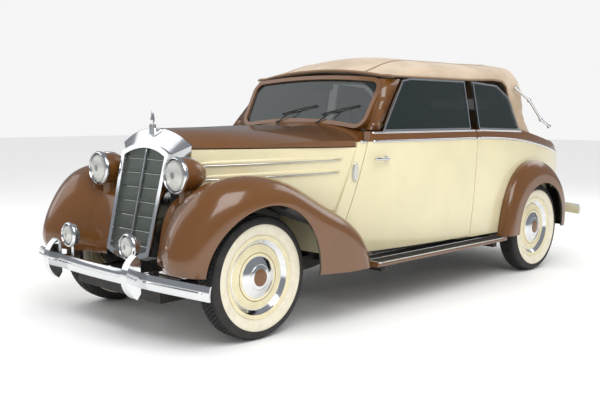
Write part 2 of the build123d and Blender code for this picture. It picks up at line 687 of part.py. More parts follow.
# Grille: mesh panel with thin cross bars and a centre strip, bent forward in the middle.
GRILLE_PANEL = 10.0
GRILLE_BARS = 7
GRILLE_BAR = 7.0
GRILLE_BAR_PROUD = 6.0
GRILLE_STRIP_HALF = 9.0
GRILLE_SET_BACK = 22.0
with BuildPart() as grille:
    add(shell_front(SHELL_EDGE + SEAM, GRILLE_SET_BACK, GRILLE_PANEL))
    with BuildPart(mode=Mode.PRIVATE) as bars:
        turn = radians(shell_lean)
        bar_plane = Plane(origin=(0, SHELL_FOOT_Y, SHELL_FOOT_Z), x_dir=(1, 0, 0),
                          z_dir=(0, -cos(turn), sin(turn))).offset(-GRILLE_SET_BACK)
        bar_pitch = (SHELL_SHOULDER_Z - SHELL_FOOT_Z) / GRILLE_BARS
        with BuildSketch(bar_plane):
            with Locations((0, (SHELL_TOP_Z - SHELL_FOOT_Z) / 2)):
                with GridLocations(0, bar_pitch, 1, GRILLE_BARS):
                    Rectangle(2 * SHELL_FRONT_HALF, GRILLE_BAR)
                Rectangle(2 * GRILLE_STRIP_HALF, SHELL_TOP_Z - SHELL_TIP_Z)
        extrude(amount=GRILLE_BAR_PROUD)
        add(shell_front(SHELL_EDGE + SEAM, 0, SHELL_DEPTH), mode=Mode.INTERSECT)
    add(bars.part)
finish(grille.part, "grille")

# Lamps: bullet shells on the catwalks, fog lamps behind the bumper, lenses and rims.
HEAD_X = 373.0
HEAD_Z = 878.0
HEAD_FACE_Y = at(-0.108)
HEAD_RADIUS = 100.0
HEAD_LENGTH = 205.0
HEAD_RIM = 9.0
RIM_DEPTH = 24.0
LENS_DOME = 16.0
FOG_X = 295.0
FOG_Z = 516.0
FOG_FACE_Y = at(-0.197)
FOG_RADIUS = 71.0
FOG_LENGTH = 74.0
FOG_STALK_RADIUS = 9.0
LAMP_FOOT_WIDTH = 70.0
LAMP_FOOT_LENGTH = 120.0
LAMP_FOOT_DROP = 170.0


BAND_SHARE = 0.25


def lamp_axis(x, z):
    return Axis((x, 0, z), (0, 1, 0))


def bullet(x, z, face_y, radius, length):
    """Solid shell of a lamp: a rounded front band and a long elliptical tail."""
    with BuildPart() as shell:
        with BuildSketch(Plane(origin=(x, 0, z), x_dir=(0, 1, 0), z_dir=(1, 0, 0))):
            with BuildLine():
                band = BAND_SHARE * length
                Polyline((face_y + length, 0), (face_y, 0), (face_y, radius), (face_y + band, radius))
                EllipticalCenterArc((face_y + band, 0), length - band, radius, start_angle=0, arc_size=90)
            make_face()
        revolve(axis=lamp_axis(x, z))
    return shell.part


with BuildPart() as fender_form:
    loft(sections=[fender_section(FRONT_FAN, row, -SEAM, FENDER_BASE, 0) for row in FRONT_FENDER])
with BuildPart() as headlamp_shells:
    add(bullet(HEAD_X, HEAD_Z, HEAD_FACE_Y + RIM_DEPTH, HEAD_RADIUS - HEAD_RIM, HEAD_LENGTH - RIM_DEPTH))
    with BuildSketch(Plane.XY.offset(HEAD_Z)):
        with Locations((HEAD_X, HEAD_FACE_Y + HEAD_LENGTH / 2)):
            Ellipse(LAMP_FOOT_WIDTH / 2, LAMP_FOOT_LENGTH / 2)
    extrude(amount=-LAMP_FOOT_DROP)
    add(fender_form.part, mode=Mode.SUBTRACT)
    add(engine_room(SEAM, high(HOOD_SIDE_FOOT_SHARE)), mode=Mode.SUBTRACT)
    mirror(about=Plane.YZ)
finish(headlamp_shells.part, "headlamp_shells")

rims = []
lenses = []
for x, z, face_y, radius in ((HEAD_X, HEAD_Z, HEAD_FACE_Y, HEAD_RADIUS), (FOG_X, FOG_Z, FOG_FACE_Y, FOG_RADIUS)):
    with BuildPart() as rim:
        with BuildSketch(Plane(origin=(x, 0, z), x_dir=(0, 1, 0), z_dir=(1, 0, 0))):
            with BuildLine():
                Polyline((face_y, radius - HEAD_RIM), (face_y + RIM_DEPTH - SEAM, radius - 2 * HEAD_RIM),
                         (face_y + RIM_DEPTH - SEAM, radius))
                ThreePointArc((face_y + RIM_DEPTH - SEAM, radius), (face_y + RIM_DEPTH / 4, radius - HEAD_RIM / 4),
                              (face_y, radius - HEAD_RIM))
            make_face()
        revolve(axis=lamp_axis(x, z))
    rims.append(rim.part)
    lens_radius = radius - 2 * HEAD_RIM - SEAM
    dome_radius = (lens_radius ** 2 + LENS_DOME ** 2) / (2 * LENS_DOME)
    with BuildPart() as lens:
        with BuildSketch(Plane(origin=(x, face_y + RIM_DEPTH - SEAM, z), z_dir=(0, -1, 0))):
            Circle(lens_radius)
        extrude(amount=RIM_DEPTH + LENS_DOME)
        with Locations((x, face_y - LENS_DOME / 2 + dome_radius, z)):
            Sphere(dome_radius, mode=Mode.INTERSECT)
    lenses.append(lens.part)
with BuildPart() as lamp_rims:
    for rim_part in rims:
        add(rim_part)
    add(bullet(FOG_X, FOG_Z, FOG_FACE_Y + RIM_DEPTH, FOG_RADIUS - HEAD_RIM, FOG_LENGTH - RIM_DEPTH))
    mirror(about=Plane.YZ)
finish(lamp_rims.part, "lamp_rims")
with BuildPart() as lamp_lenses:
    for lens_part in lenses:
        add(lens_part)
    mirror(about=Plane.YZ)
finish(lamp_lenses.part, "lamp_lenses")

# Bumpers: a blade swept along a flat curve that drops to its ends, with overriders and arms.
BLADE_HEIGHT = 78.0
BLADE_THICKNESS = 14.0
BLADE_BULGE = 10.0
FRONT_BUMPER = (wide(0.990), -HALF_LENGTH + 52.0, 366.0, at(-0.153), 334.0)
REAR_BUMPER = (wide(0.945), HALF_LENGTH - 52.0, 420.0, at(1.243), 420.0)
OVERRIDER_X = 393.0
OVERRIDER_HALF_WIDTH = 27.0
OVERRIDER_LOW = 106.0
OVERRIDER_HIGH = 122.0
OVERRIDER_DEPTH = 52.0
ARM_HALF_HEIGHT = 22.0
ARM_HALF_WIDTH = 8.0


def bumper(half_span, middle_y, middle_z, end_y, end_z, outward, arm_y):
    """Blade, overriders and arms of a bumper; outward is -1 at the front and 1 at the rear."""
    reach = -outward
    with BuildPart() as made:
        with BuildLine() as path:
            ThreePointArc((-half_span, end_y, end_z), (0, middle_y, middle_z), (half_span, end_y, end_z))
        start = path.line @ 0
        along = path.line % 0
        with BuildSketch(Plane(origin=start, x_dir=(0, 0, 1), z_dir=along)):
            with BuildLine():
                side = BLADE_THICKNESS / 2
                ThreePointArc((-BLADE_HEIGHT / 2, side), (0, side + BLADE_BULGE), (BLADE_HEIGHT / 2, side))
                Line((BLADE_HEIGHT / 2, side), (BLADE_HEIGHT / 2, -side))
                ThreePointArc((BLADE_HEIGHT / 2, -side), (0, -side + BLADE_BULGE), (-BLADE_HEIGHT / 2, -side))
                Line((-BLADE_HEIGHT / 2, -side), (-BLADE_HEIGHT / 2, side))
            make_face()
            if reach < 0:
                mirror(about=Plane.XZ, mode=Mode.REPLACE)
        sweep(path=path.line)
        rider_y = outward * (HALF_LENGTH - OVERRIDER_DEPTH)
        with BuildSketch(side_plane(OVERRIDER_X - OVERRIDER_HALF_WIDTH)):
            with BuildLine():
                top = (rider_y - outward * 12, middle_z + OVERRIDER_HIGH)
                low = (rider_y - outward * 12, middle_z - OVERRIDER_LOW)
                ThreePointArc(low, (outward * HALF_LENGTH, middle_z), top)
                Polyline(top, (rider_y - outward * 34, middle_z + OVERRIDER_HIGH - 30),
                         (rider_y - outward * 34, middle_z - OVERRIDER_LOW + 30), low)
            make_face()
        extrude(amount=2 * OVERRIDER_HALF_WIDTH)
        mirror(objects=made.part.solids(), about=Plane.YZ)
        with BuildSketch(Plane.XY.offset(middle_z - ARM_HALF_HEIGHT)):
            with Locations((OVERRIDER_X, (rider_y + arm_y) / 2), (-OVERRIDER_X, (rider_y + arm_y) / 2)):
                Rectangle(2 * ARM_HALF_WIDTH, abs(rider_y - arm_y))
        extrude(amount=2 * ARM_HALF_HEIGHT)
    return made.part


FRAME_FRONT_Y = at(-0.150)
TAIL_Y = at(1.2875)
FOG_STALK_Y = FOG_FACE_Y + FOG_LENGTH / 2
FOG_BRACKET_WIDTH = 26.0
FOG_BRACKET_THICKNESS = 7.0
FOG_BRACKET_REACH = 52.0
with BuildPart() as front_bumper:
    add(bumper(*FRONT_BUMPER, -1, FRAME_FRONT_Y - SEAM))
    bracket_z = FRONT_BUMPER[2] + BLADE_HEIGHT / 4
    with BuildSketch(Plane.XY.offset(bracket_z)):
        with Locations((FOG_X, FOG_STALK_Y), (-FOG_X, FOG_STALK_Y)):
            Rectangle(FOG_BRACKET_WIDTH, FOG_BRACKET_REACH, align=(Align.CENTER, Align.MAX))
            Circle(FOG_BRACKET_WIDTH / 2)
    extrude(amount=FOG_BRACKET_THICKNESS)
    with BuildSketch(Plane.XY.offset(bracket_z)):
        with Locations((FOG_X, FOG_STALK_Y), (-FOG_X, FOG_STALK_Y)):
            Circle(FOG_STALK_RADIUS)
    extrude(amount=FOG_Z - FOG_RADIUS + HEAD_RIM - SEAM - bracket_z)
finish(front_bumper.part, "front_bumper")
with BuildPart() as rear_bumper:
    add(bumper(*REAR_BUMPER, 1, TAIL_Y + SEAM))
finish(rear_bumper.part, "rear_bumper")

# Running boards and the sills between them and the body.
BOARD_FRONT_Y = at(0.2985)
BOARD_REAR_Y = at(0.8195)
BOARD_TOP_Z = 324.0
BOARD_THICKNESS = 32.0
BOARD_INNER_X = 640.0
BOARD_OUTER_X = 832.0
BOARD_EDGE_RADIUS = 14.0
with BuildPart() as running_boards:
    with BuildSketch(cross_plane(BOARD_REAR_Y)):
        with Locations(((BOARD_INNER_X + BOARD_OUTER_X) / 2, BOARD_TOP_Z - BOARD_THICKNESS / 2)):
            Rectangle(BOARD_OUTER_X - BOARD_INNER_X, BOARD_THICKNESS)
        fillet(vertices().group_by(Axis.X)[-1], radius=BOARD_EDGE_RADIUS)
    extrude(amount=BOARD_REAR_Y - BOARD_FRONT_Y)
    mirror(about=Plane.YZ)
finish(running_boards.part, "running_boards")

# Windscreen: a flat pane that leans back, its frame with rounded corners, and the pillars beside it.
SCREEN_FOOT_Y = at(0.3595)
SCREEN_FOOT_Z = 1123.0
SCREEN_LEAN = 29.0
SCREEN_HALF_LOW = 546.0
SCREEN_HALF_HIGH = 568.0
SCREEN_RISE = 352.0
SCREEN_CORNER = 62.0
SCREEN_SURROUND = 26.0
SCREEN_SURROUND_DEPTH = 34.0
SCREEN_CROWN = 34.0
SCREEN_FOOT_CROWN = 46.0
PILLAR_FOOT_X = 694.0
PILLAR_HEAD_X = 596.0
PILLAR_SHARES = (
    (0.3450, 0.6700), (0.3620, 0.6900), (0.4160, 0.8800), (0.4260, 0.8980),
    (0.4560, 0.8980), (0.4510, 0.8830), (0.3590, 0.6860), (0.3580, 0.6700),
)
screen_turn = radians(SCREEN_LEAN)
screen_plane = Plane(origin=(0, SCREEN_FOOT_Y, SCREEN_FOOT_Z), x_dir=(1, 0, 0),
                     z_dir=(0, -cos(screen_turn), sin(screen_turn)))


def screen_slab(grow, depth):
    """Leaning slab with the pane's outline, its edges moved outward by grow."""
    with BuildPart() as slab:
        with BuildSketch(screen_plane.offset(-depth / 2)):
            with BuildLine():
                Polyline((-SCREEN_HALF_HIGH, SCREEN_RISE - SCREEN_CROWN), (-SCREEN_HALF_LOW, 0))
                ThreePointArc((-SCREEN_HALF_LOW, 0), (0, SCREEN_FOOT_CROWN), (SCREEN_HALF_LOW, 0))
                Line((SCREEN_HALF_LOW, 0), (SCREEN_HALF_HIGH, SCREEN_RISE - SCREEN_CROWN))
                ThreePointArc((SCREEN_HALF_HIGH, SCREEN_RISE - SCREEN_CROWN), (0, SCREEN_RISE),
                              (-SCREEN_HALF_HIGH, SCREEN_RISE - SCREEN_CROWN))
            make_face()
            fillet(vertices(), radius=SCREEN_CORNER)
            if grow:
                offset(amount=grow)
        extrude(amount=depth)
    return slab.part


with BuildPart() as windscreen_glass:
    add(screen_slab(-GLASS_BED / 2 - SEAM, GLASS_THICKNESS))
finish(windscreen_glass.part, "windscreen_glass")
with BuildPart() as cowl_form:
    add(hood_block(HOOD_SHARES[2:], -SEAM, 0, high(HOOD_CUT_LOW_SHARE)))
    mirror(about=Plane.YZ)
with BuildPart() as door_top_room:
    add(door_room)
    with BuildSketch(Plane.XY.offset(SILL_TOP_Z + DOOR_GAP)):
        Rectangle(2 * FULL_SPAN, 2 * HALF_LENGTH)
    extrude(amount=HEIGHT, mode=Mode.SUBTRACT)
    mirror(about=Plane.YZ)
with BuildPart() as pillars:
    add(side_cut([(at(y), high(z)) for y, z in PILLAR_SHARES], SCREEN_HALF_LOW, HALF_WIDTH))
    outer_edge = ((PILLAR_FOOT_X, SILL_TOP_Z - OVERRUN), (HALF_WIDTH, SILL_TOP_Z - OVERRUN),
                  (HALF_WIDTH, HEIGHT), (PILLAR_HEAD_X, HEIGHT))
    extrude(outline(cross_plane(at(0.5)), outer_edge), amount=HALF_LENGTH, mode=Mode.SUBTRACT)
    mirror(about=Plane.YZ)
with BuildPart() as windscreen_frame:
    add(screen_slab(SCREEN_SURROUND, SCREEN_SURROUND_DEPTH))
    add(pillars.part)
    add(screen_slab(-GLASS_BED / 2, SCREEN_SURROUND_DEPTH + 2 * OVERRUN), mode=Mode.SUBTRACT)
    add(cowl_form.part, mode=Mode.SUBTRACT)
    add(door_top_room.part, mode=Mode.SUBTRACT)
finish(windscreen_frame.part.solids().sort_by(SortBy.VOLUME)[-1], "windscreen_frame")

# Soft top: a thick lined shell; upright sections over the roof, then a fan down the back.
TOP_SKIN = 26.0
FAN_Y = at(0.8785)
FAN_Z = 1000.0
ROOF_EDGE_Z = 1446.0
# Columns: share of the wheelbase, edge x, shoulder x, shoulder height, crown height (both over FAN_Z).
ROOF_SHARES = (
    (0.4295, 0.738, 0.640, 455.0, 500.0),
    (0.5400, 0.764, 0.660, 530.0, 598.0),
    (0.7210, 0.772, 0.664, 545.0, 606.0),
    (0.8785, 0.772, 0.664, 545.0, 606.0),
)
# Columns: angle up from the front, low x, low radius, shoulder x, shoulder radius, crown radius.
BACK_FAN = (
    (108, 0.775, 335.0, 0.668, 582.0, 638.0),
    (124, 0.782, 275.0, 0.655, 603.0, 676.0),
    (136, 0.792, 245.0, 0.640, 560.0, 628.0),
    (148, 0.802, 228.0, 0.640, 478.0, 534.0),
    (162, 0.812, 216.0, 0.660, 478.0, 524.0),
    (180, 0.822, 212.0, 0.680, 612.0, 662.0),
)


BROW_SHARE = 0.5
CHEEK_SHARES = (0.80, 0.62)


def top_section(plane, low, shoulder, crown, skin):
    """Arch section of the soft top: foot, shoulder and crown, moved inward by skin."""
    foot = (low[0] - skin, low[1])
    brow = (shoulder[0] - skin * BROW_SHARE, shoulder[1] - skin)
    cheek = (brow[0] + CHEEK_SHARES[0] * (foot[0] - brow[0]), foot[1] + CHEEK_SHARES[1] * (brow[1] - foot[1]))
    with BuildSketch(plane) as sketch:
        with BuildLine():
            ThreePointArc(foot, cheek, brow)
            ThreePointArc(brow, (0, crown - skin), (-brow[0], brow[1]))
            ThreePointArc((-brow[0], brow[1]), (-cheek[0], cheek[1]), (-foot[0], foot[1]))
            if skin:
                Polyline((-foot[0], foot[1]), (-foot[0], foot[1] - OVERRUN), (foot[0], foot[1] - OVERRUN), foot)
            else:
                Line((-foot[0], foot[1]), foot)
        make_face()
    return sketch.sketch


def top_block(skin):
    base = ROOF_EDGE_Z - FAN_Z
    sections = []
    for share, low_x, shoulder_x, shoulder_h, crown_h in ROOF_SHARES:
        plane = Plane(origin=(0, at(share), FAN_Z), x_dir=(1, 0, 0), z_dir=(0, -1, 0))
        sections.append(top_section(plane, (wide(low_x), base), (wide(shoulder_x), shoulder_h), crown_h, skin))
    for angle, low_x, low_r, shoulder_x, shoulder_r, crown_r in BACK_FAN:
        plane = fan_plane(FAN_Y, FAN_Z, angle)
        sections.append(top_section(plane, (wide(low_x), low_r), (wide(shoulder_x), shoulder_r), crown_r, skin))
    with BuildPart() as block:
        loft(sections=sections, ruled=True)
    return block.part


# Rear window: an oblong opening and the pane halfway through the fabric; the quarter panes join it.
REAR_WINDOW_HALF = 300.0
REAR_WINDOW_LOW_Z = 1240.0
REAR_WINDOW_HIGH_Z = 1330.0


def rear_window_cut(shrink):
    with BuildPart() as block:
        with BuildSketch(cross_plane(HALF_LENGTH)):
            with Locations((0, (REAR_WINDOW_LOW_Z + REAR_WINDOW_HIGH_Z) / 2)):
                SlotOverall(2 * (REAR_WINDOW_HALF - shrink), REAR_WINDOW_HIGH_Z - REAR_WINDOW_LOW_Z - 2 * shrink)
        extrude(amount=HALF_LENGTH - at(0.95))
    return block.part


with BuildPart() as rear_pane:
    add(top_block((TOP_SKIN - GLASS_THICKNESS) / 2))
    add(top_block((TOP_SKIN + GLASS_THICKNESS) / 2), mode=Mode.SUBTRACT)
    add(rear_window_cut(SEAM), mode=Mode.INTERSECT)
with BuildPart() as rear_glass:
    add(rear_pane.part)
    for glass, frame in quarter:
        add(glass)
finish(rear_glass.part, "rear_glass")
with BuildPart() as soft_top:
    add(top_block(0))
    add(top_block(TOP_SKIN), mode=Mode.SUBTRACT)
    add(rear_window_cut(0), mode=Mode.SUBTRACT)
    with BuildSketch(side_plane(-HALF_WIDTH)):
        with BuildLine():
            Polyline(*[(at(y), high(z) + SEAM) for y, z in BODY_TOP_SHARES[3:]], (HALF_LENGTH, SILL_BOTTOM_Z),
                     (at(0.3), SILL_BOTTOM_Z), close=True)
        make_face()
    extrude(amount=2 * HALF_WIDTH, mode=Mode.SUBTRACT)
finish(soft_top.part, "soft_top")

# Landau bars on the fabric, bent along it.
LANDAU_RADIUS = 9.0
LANDAU_BOSS_RADIUS = 17.0
# Places along the bar: share of the wheelbase, share of the height, share of the half width.
LANDAU_SHARES = ((0.9330, 0.8700, 0.800), (0.9900, 0.8150, 0.830), (1.0480, 0.7240, 0.848), (1.0950, 0.6900, 0.850))
with BuildPart() as landau_bars:
    knots = [(wide(x), at(y), high(z)) for y, z, x in LANDAU_SHARES]
    for start, end in zip(knots[:-1], knots[1:]):
        run = Vector(*end) - Vector(*start)
        with BuildSketch(Plane(origin=start, z_dir=run)):
            Circle(LANDAU_RADIUS)
        extrude(amount=run.length)
    with Locations(*knots):
        Sphere(LANDAU_BOSS_RADIUS)
    mirror(about=Plane.YZ)
finish(landau_bars.part, "landau_bars")

# Floor, engine, exhaust, tank and the frame of two crossing side members.
FLOOR_Z = 352.0
FRAME_TOP_Z = 300.0
FRAME_BOTTOM_Z = 212.0
FRAME_RAIL = 74.0
# Half spread of the frame's side members along the car: share of the wheelbase, share of the half width.
FRAME_SHARES = ((-0.150, 0.440), (0.120, 0.400), (0.300, 0.270), (0.500, 0.060), (0.700, 0.270), (0.860, 0.420),
                (1.190, 0.440))
OUTRIGGER_SHARES = (0.330, 0.780)
OUTRIGGER_END_X = 800.0
OUTRIGGER_WIDTH = 44.0
OUTRIGGER_HEIGHT = 34.0
PAD_SHARES = ((0.310, 0.270), (0.690, 0.270))
PAD_RADIUS = 30.0
with BuildPart() as frame:
    spread = [(at(y), wide(x)) for y, x in FRAME_SHARES]
    with BuildSketch(Plane.XY.offset(FRAME_BOTTOM_Z)):
        with BuildLine():
            Polyline(*[(x + FRAME_RAIL / 2, y) for y, x in spread], *[(x - FRAME_RAIL / 2, y) for y, x in spread[::-1]],
                     close=True)
        make_face()
        mirror(about=Plane.YZ)
        for share, x_share in (FRAME_SHARES[0], FRAME_SHARES[1], FRAME_SHARES[5], FRAME_SHARES[6]):
            with Locations((0, at(share) + (FRAME_RAIL / 2 if share < 0 else -FRAME_RAIL / 2))):
                Rectangle(2 * wide(x_share), FRAME_RAIL)
    extrude(amount=FRAME_TOP_Z - FRAME_BOTTOM_Z)
    board_low = BOARD_TOP_Z - BOARD_THICKNESS - SEAM
    with BuildSketch(Plane.XY.offset(board_low)):
        for share in OUTRIGGER_SHARES:
            with Locations((0, at(share))):
                Rectangle(2 * OUTRIGGER_END_X, OUTRIGGER_WIDTH)
    extrude(amount=-OUTRIGGER_HEIGHT)
    with BuildSketch(Plane.XY.offset(FRAME_TOP_Z - OUTRIGGER_HEIGHT)):
        for share, x_share in PAD_SHARES:
            with Locations((wide(x_share), at(share)), (-wide(x_share), at(share))):
                Circle(PAD_RADIUS)
    extrude(amount=FLOOR_Z - SEAM - FRAME_TOP_Z + OUTRIGGER_HEIGHT)
finish(frame.part, "frame")

FLOOR_FRONT_Y = at(0.275)
FLOOR_STEP_Y = at(0.795)
FLOOR_REAR_Y = at(1.270)
REAR_FLOOR_Z = 486.0
with BuildPart() as floor_pan:
    floor_top = FLOOR_Z + FLOOR_THICKNESS
    rear_top = REAR_FLOOR_Z + FLOOR_THICKNESS
    with BuildSketch(side_plane(-HALF_WIDTH)):
        with BuildLine():
            Polyline((FLOOR_FRONT_Y, FLOOR_Z), (FLOOR_STEP_Y, FLOOR_Z), (FLOOR_STEP_Y, REAR_FLOOR_Z),
                     (FLOOR_REAR_Y, REAR_FLOOR_Z), (FLOOR_REAR_Y, rear_top),
                     (FLOOR_STEP_Y - FLOOR_THICKNESS, rear_top), (FLOOR_STEP_Y - FLOOR_THICKNESS, floor_top),
                     (FLOOR_FRONT_Y, floor_top), close=True)
        make_face()
    extrude(amount=2 * HALF_WIDTH)
    add(tub_block(WALL + SEAM, SILL_TOP_Z, SILL_BOTTOM_Z), mode=Mode.INTERSECT)
    add(rear_arch.part, mode=Mode.SUBTRACT)
    add(rear_housing.part, mode=Mode.SUBTRACT)
finish(floor_pan.part, "floor_pan")

ENGINE_SIZE = (330.0, 620.0, 470.0)
ENGINE_Y = at(0.130)
ENGINE_LOW_Z = FRAME_TOP_Z + SEAM
with BuildPart() as engine:
    with Locations((0, ENGINE_Y, ENGINE_LOW_Z)):
        Box(*ENGINE_SIZE, align=(Align.CENTER, Align.CENTER, Align.MIN))
    chamfer(engine.edges().group_by(Axis.Z)[-1], length=ENGINE_SIZE[0] / 10)
finish(engine.part, "engine")

EXHAUST_X = -130.0
EXHAUST_Z = 158.0
EXHAUST_RADIUS = 20.0
SILENCER_HALF_WIDTH = 74.0
SILENCER_HALF_HEIGHT = 38.0
SILENCER_LENGTH = 560.0
SILENCER_Y = at(0.86)
EXHAUST_FRONT_Y = at(0.17)
EXHAUST_REAR_Y = at(1.30)
HANGER_THICKNESS = 6.0
HANGER_WIDTH = 30.0
with BuildPart() as exhaust:
    with BuildSketch(cross_plane(EXHAUST_REAR_Y)):
        with Locations((EXHAUST_X, EXHAUST_Z)):
            Circle(EXHAUST_RADIUS)
    extrude(amount=EXHAUST_REAR_Y - EXHAUST_FRONT_Y)
    with BuildSketch(cross_plane(SILENCER_Y)):
        with Locations((EXHAUST_X, EXHAUST_Z)):
            Ellipse(SILENCER_HALF_WIDTH, SILENCER_HALF_HEIGHT)
    extrude(amount=SILENCER_LENGTH)
    with BuildSketch(Plane.XY.offset(EXHAUST_Z)):
        with Locations((EXHAUST_X, EXHAUST_FRONT_Y + EXHAUST_RADIUS)):
            Circle(EXHAUST_RADIUS)
    extrude(amount=ENGINE_LOW_Z - SEAM - EXHAUST_Z)
    with BuildSketch(Plane.XY.offset(EXHAUST_Z)):
        with Locations((EXHAUST_X, at(1.190) - FRAME_RAIL / 2)):
            Rectangle(HANGER_WIDTH, HANGER_THICKNESS)
    extrude(amount=FRAME_BOTTOM_Z - SEAM - EXHAUST_Z)
finish(exhaust.part, "exhaust")

TANK_SIZE = (700.0, 300.0, 170.0)
TANK_Y = at(1.240)
with BuildPart() as fuel_tank:
    with Locations((0, TANK_Y, REAR_FLOOR_Z - SEAM)):
        Box(*TANK_SIZE, align=(Align.CENTER, Align.MAX, Align.MAX))
    fillet(fuel_tank.edges().filter_by(Axis.X), radius=TANK_SIZE[2] / 5)
finish(fuel_tank.part, "fuel_tank")

# Seats: a front pair and a rear bench, each a cushion and a leaning back on a low base.
FRONT_SEAT_X = 300.0
SEAT_ROUND = 45.0
CUSHION_HEIGHT = 150.0
BACK_LEAN = 14.0
# Columns: middle x, width, front y share, floor z, base height, depth, back height, back thickness.
SEATS = (
    (FRONT_SEAT_X, 520.0, 0.5150, FLOOR_Z + FLOOR_THICKNESS, 120.0, 480.0, 520.0, 120.0),
    (-FRONT_SEAT_X, 520.0, 0.5150, FLOOR_Z + FLOOR_THICKNESS, 120.0, 480.0, 520.0, 120.0),
    (0.0, 1130.0, 0.8150, REAR_FLOOR_Z + FLOOR_THICKNESS, 20.0, 400.0, 450.0, 100.0),
)
with BuildPart() as seats:
    for middle_x, width, front_share, floor_z, base, depth, back, thick in SEATS:
        front_y = at(front_share)
        low = floor_z + SEAM
        top = low + base + CUSHION_HEIGHT
        heel_y = front_y + depth
        back_run = back * sin(radians(BACK_LEAN))
        brow_z = top + back - thick / 2
        with BuildSketch(side_plane(middle_x - width / 2)):
            with BuildLine():
                Polyline((front_y + SEAT_ROUND, low), (front_y, low + base), (front_y, top - SEAT_ROUND))
                ThreePointArc((front_y, top - SEAT_ROUND), (front_y + SEAT_ROUND * 0.3, top - SEAT_ROUND * 0.3),
                              (front_y + SEAT_ROUND, top))
                Polyline((front_y + SEAT_ROUND, top), (heel_y, top - SEAT_ROUND), (heel_y + back_run, brow_z))
                ThreePointArc((heel_y + back_run, brow_z), (heel_y + back_run + thick / 2, top + back),
                              (heel_y + back_run + thick, brow_z))
                Polyline((heel_y + back_run + thick, brow_z), (heel_y + thick, low), (front_y + SEAT_ROUND, low))
            make_face()
        extrude(amount=width)
finish(seats.part, "seats")

# Dashboard across the cowl, with the steering column through it.
DASH_TOP_Z = 1092.0
DASH_LOW_Z = 930.0
DASH_FRONT_Y = at(0.372)
DASH_REAR_Y = at(0.400)
DASH_HALF = 600.0
STEERING_RADIUS = 205.0
STEERING_RIM_RADIUS = 11.0
HORN_RADIUS = 55.0
SPOKE_WIDTH = 16.0
HORN_DEPTH = 30.0
with BuildPart() as steering_column:
    with BuildSketch(wheel_plane.offset(-HORN_DEPTH - DOOR_GAP)):
        Circle(COLUMN_RADIUS)
    extrude(amount=-COLUMN_LENGTH)
finish(steering_column.part, "steering_column")
with BuildPart() as dashboard:
    with BuildSketch(side_plane(-DASH_HALF)):
        with BuildLine():
            Polyline((DASH_FRONT_Y, DASH_LOW_Z), (DASH_FRONT_Y, DASH_TOP_Z), ((DASH_FRONT_Y + DASH_REAR_Y) / 2, DASH_TOP_Z))
            ThreePointArc(((DASH_FRONT_Y + DASH_REAR_Y) / 2, DASH_TOP_Z), (DASH_REAR_Y - 8, DASH_TOP_Z - 30),
                          (DASH_REAR_Y, DASH_TOP_Z - 70))
            Polyline((DASH_REAR_Y, DASH_TOP_Z - 70), (DASH_REAR_Y, DASH_LOW_Z), (DASH_FRONT_Y, DASH_LOW_Z))
        make_face()
    extrude(amount=2 * DASH_HALF)
    with BuildSketch(wheel_plane.offset(-COLUMN_LENGTH)):
        Circle(COLUMN_RADIUS + SEAM)
    extrude(amount=2 * COLUMN_LENGTH, mode=Mode.SUBTRACT)
finish(dashboard.part, "dashboard")
with BuildPart() as steering_wheel:
    with BuildSketch(Plane(origin=wheel_plane.origin, x_dir=(1, 0, 0), z_dir=wheel_plane.y_dir)):
        with Locations((STEERING_RADIUS, 0)):
            Circle(STEERING_RIM_RADIUS)
    revolve(axis=Axis(wheel_plane.origin, wheel_plane.z_dir))
    with BuildSketch(wheel_plane.offset(-HORN_DEPTH)):
        Circle(HORN_RADIUS)
    extrude(amount=HORN_DEPTH)
    with BuildSketch(wheel_plane.offset(-HORN_DEPTH / 2)):
        Rectangle(2 * STEERING_RADIUS, SPOKE_WIDTH)
        Rectangle(SPOKE_WIDTH, STEERING_RADIUS, align=(Align.CENTER, Align.MAX))
    extrude(amount=HORN_DEPTH / 3)
finish(steering_wheel.part, "steering_wheel")

# Wheels and tyres, and what carries them.
KINGPIN_X = 560.0
KINGPIN_RADIUS = 14.0
KINGPIN_BOSS_RADIUS = 22.0
KINGPIN_BOSS_LOW = 70.0
KINGPIN_BOSS_HIGH = 100.0
KNUCKLE_HALF_HEIGHT = 62.0
KNUCKLE_RADIUS = 24.0
STUB_RADIUS = AXLE_BORE_RADIUS - RUNNING_CLEARANCE
BACKPLATE_RADIUS = 132.0
BACKPLATE_THICKNESS = 8.0
BACKPLATE_OFFSET = 52.0
ARM_THICKNESS = 14.0
ARM_LOW_Z = 190.0
ARM_END = (-25.0, 150.0)
ARM_WIDTH = 30.0
ROD_RADIUS = 10.0
ROD_Z = 170.0
STUB_TIP = BORE_DEPTH - HUB_INNER_OFFSET - 2.0

WHEELS = (
    ("front_left", 1, FRONT_HALF_TRACK, FRONT_AXLE_Y),
    ("front_right", -1, FRONT_HALF_TRACK, FRONT_AXLE_Y),
    ("rear_left", 1, REAR_HALF_TRACK, REAR_AXLE_Y),
    ("rear_right", -1, REAR_HALF_TRACK, REAR_AXLE_Y),
)
# Wheel section: offset outward from the wheel's middle, radius.
RIM_POINTS = ((-56, 216), (-56, 226), (-50, 226), (-44, 216), (44, 216), (50, 226), (56, 226), (52, 206))
DISC_POINTS = ((44, 196), (30, 180), (38, 136), (40, 112))
CAP_TIP = 66.0
INNER_POINTS = ((26, 112), (24, 136), (14, 180), (8, 204), (-50, 206))
TREAD_HALF = 56.0
TYRE_BULGE_RADIUS = 282.0
TYRE_BEAD_HALF = 48.0
TYRE_SHOULDER_RADIUS = 322.0


def wheel_frame(side, half_track, axle_y):
    """Sketch plane of a wheel's section: sketch x points outward, sketch y is the radius."""
    return Plane(origin=(side * half_track, axle_y, AXLE_Z), x_dir=(side, 0, 0), z_dir=(0, -side, 0))


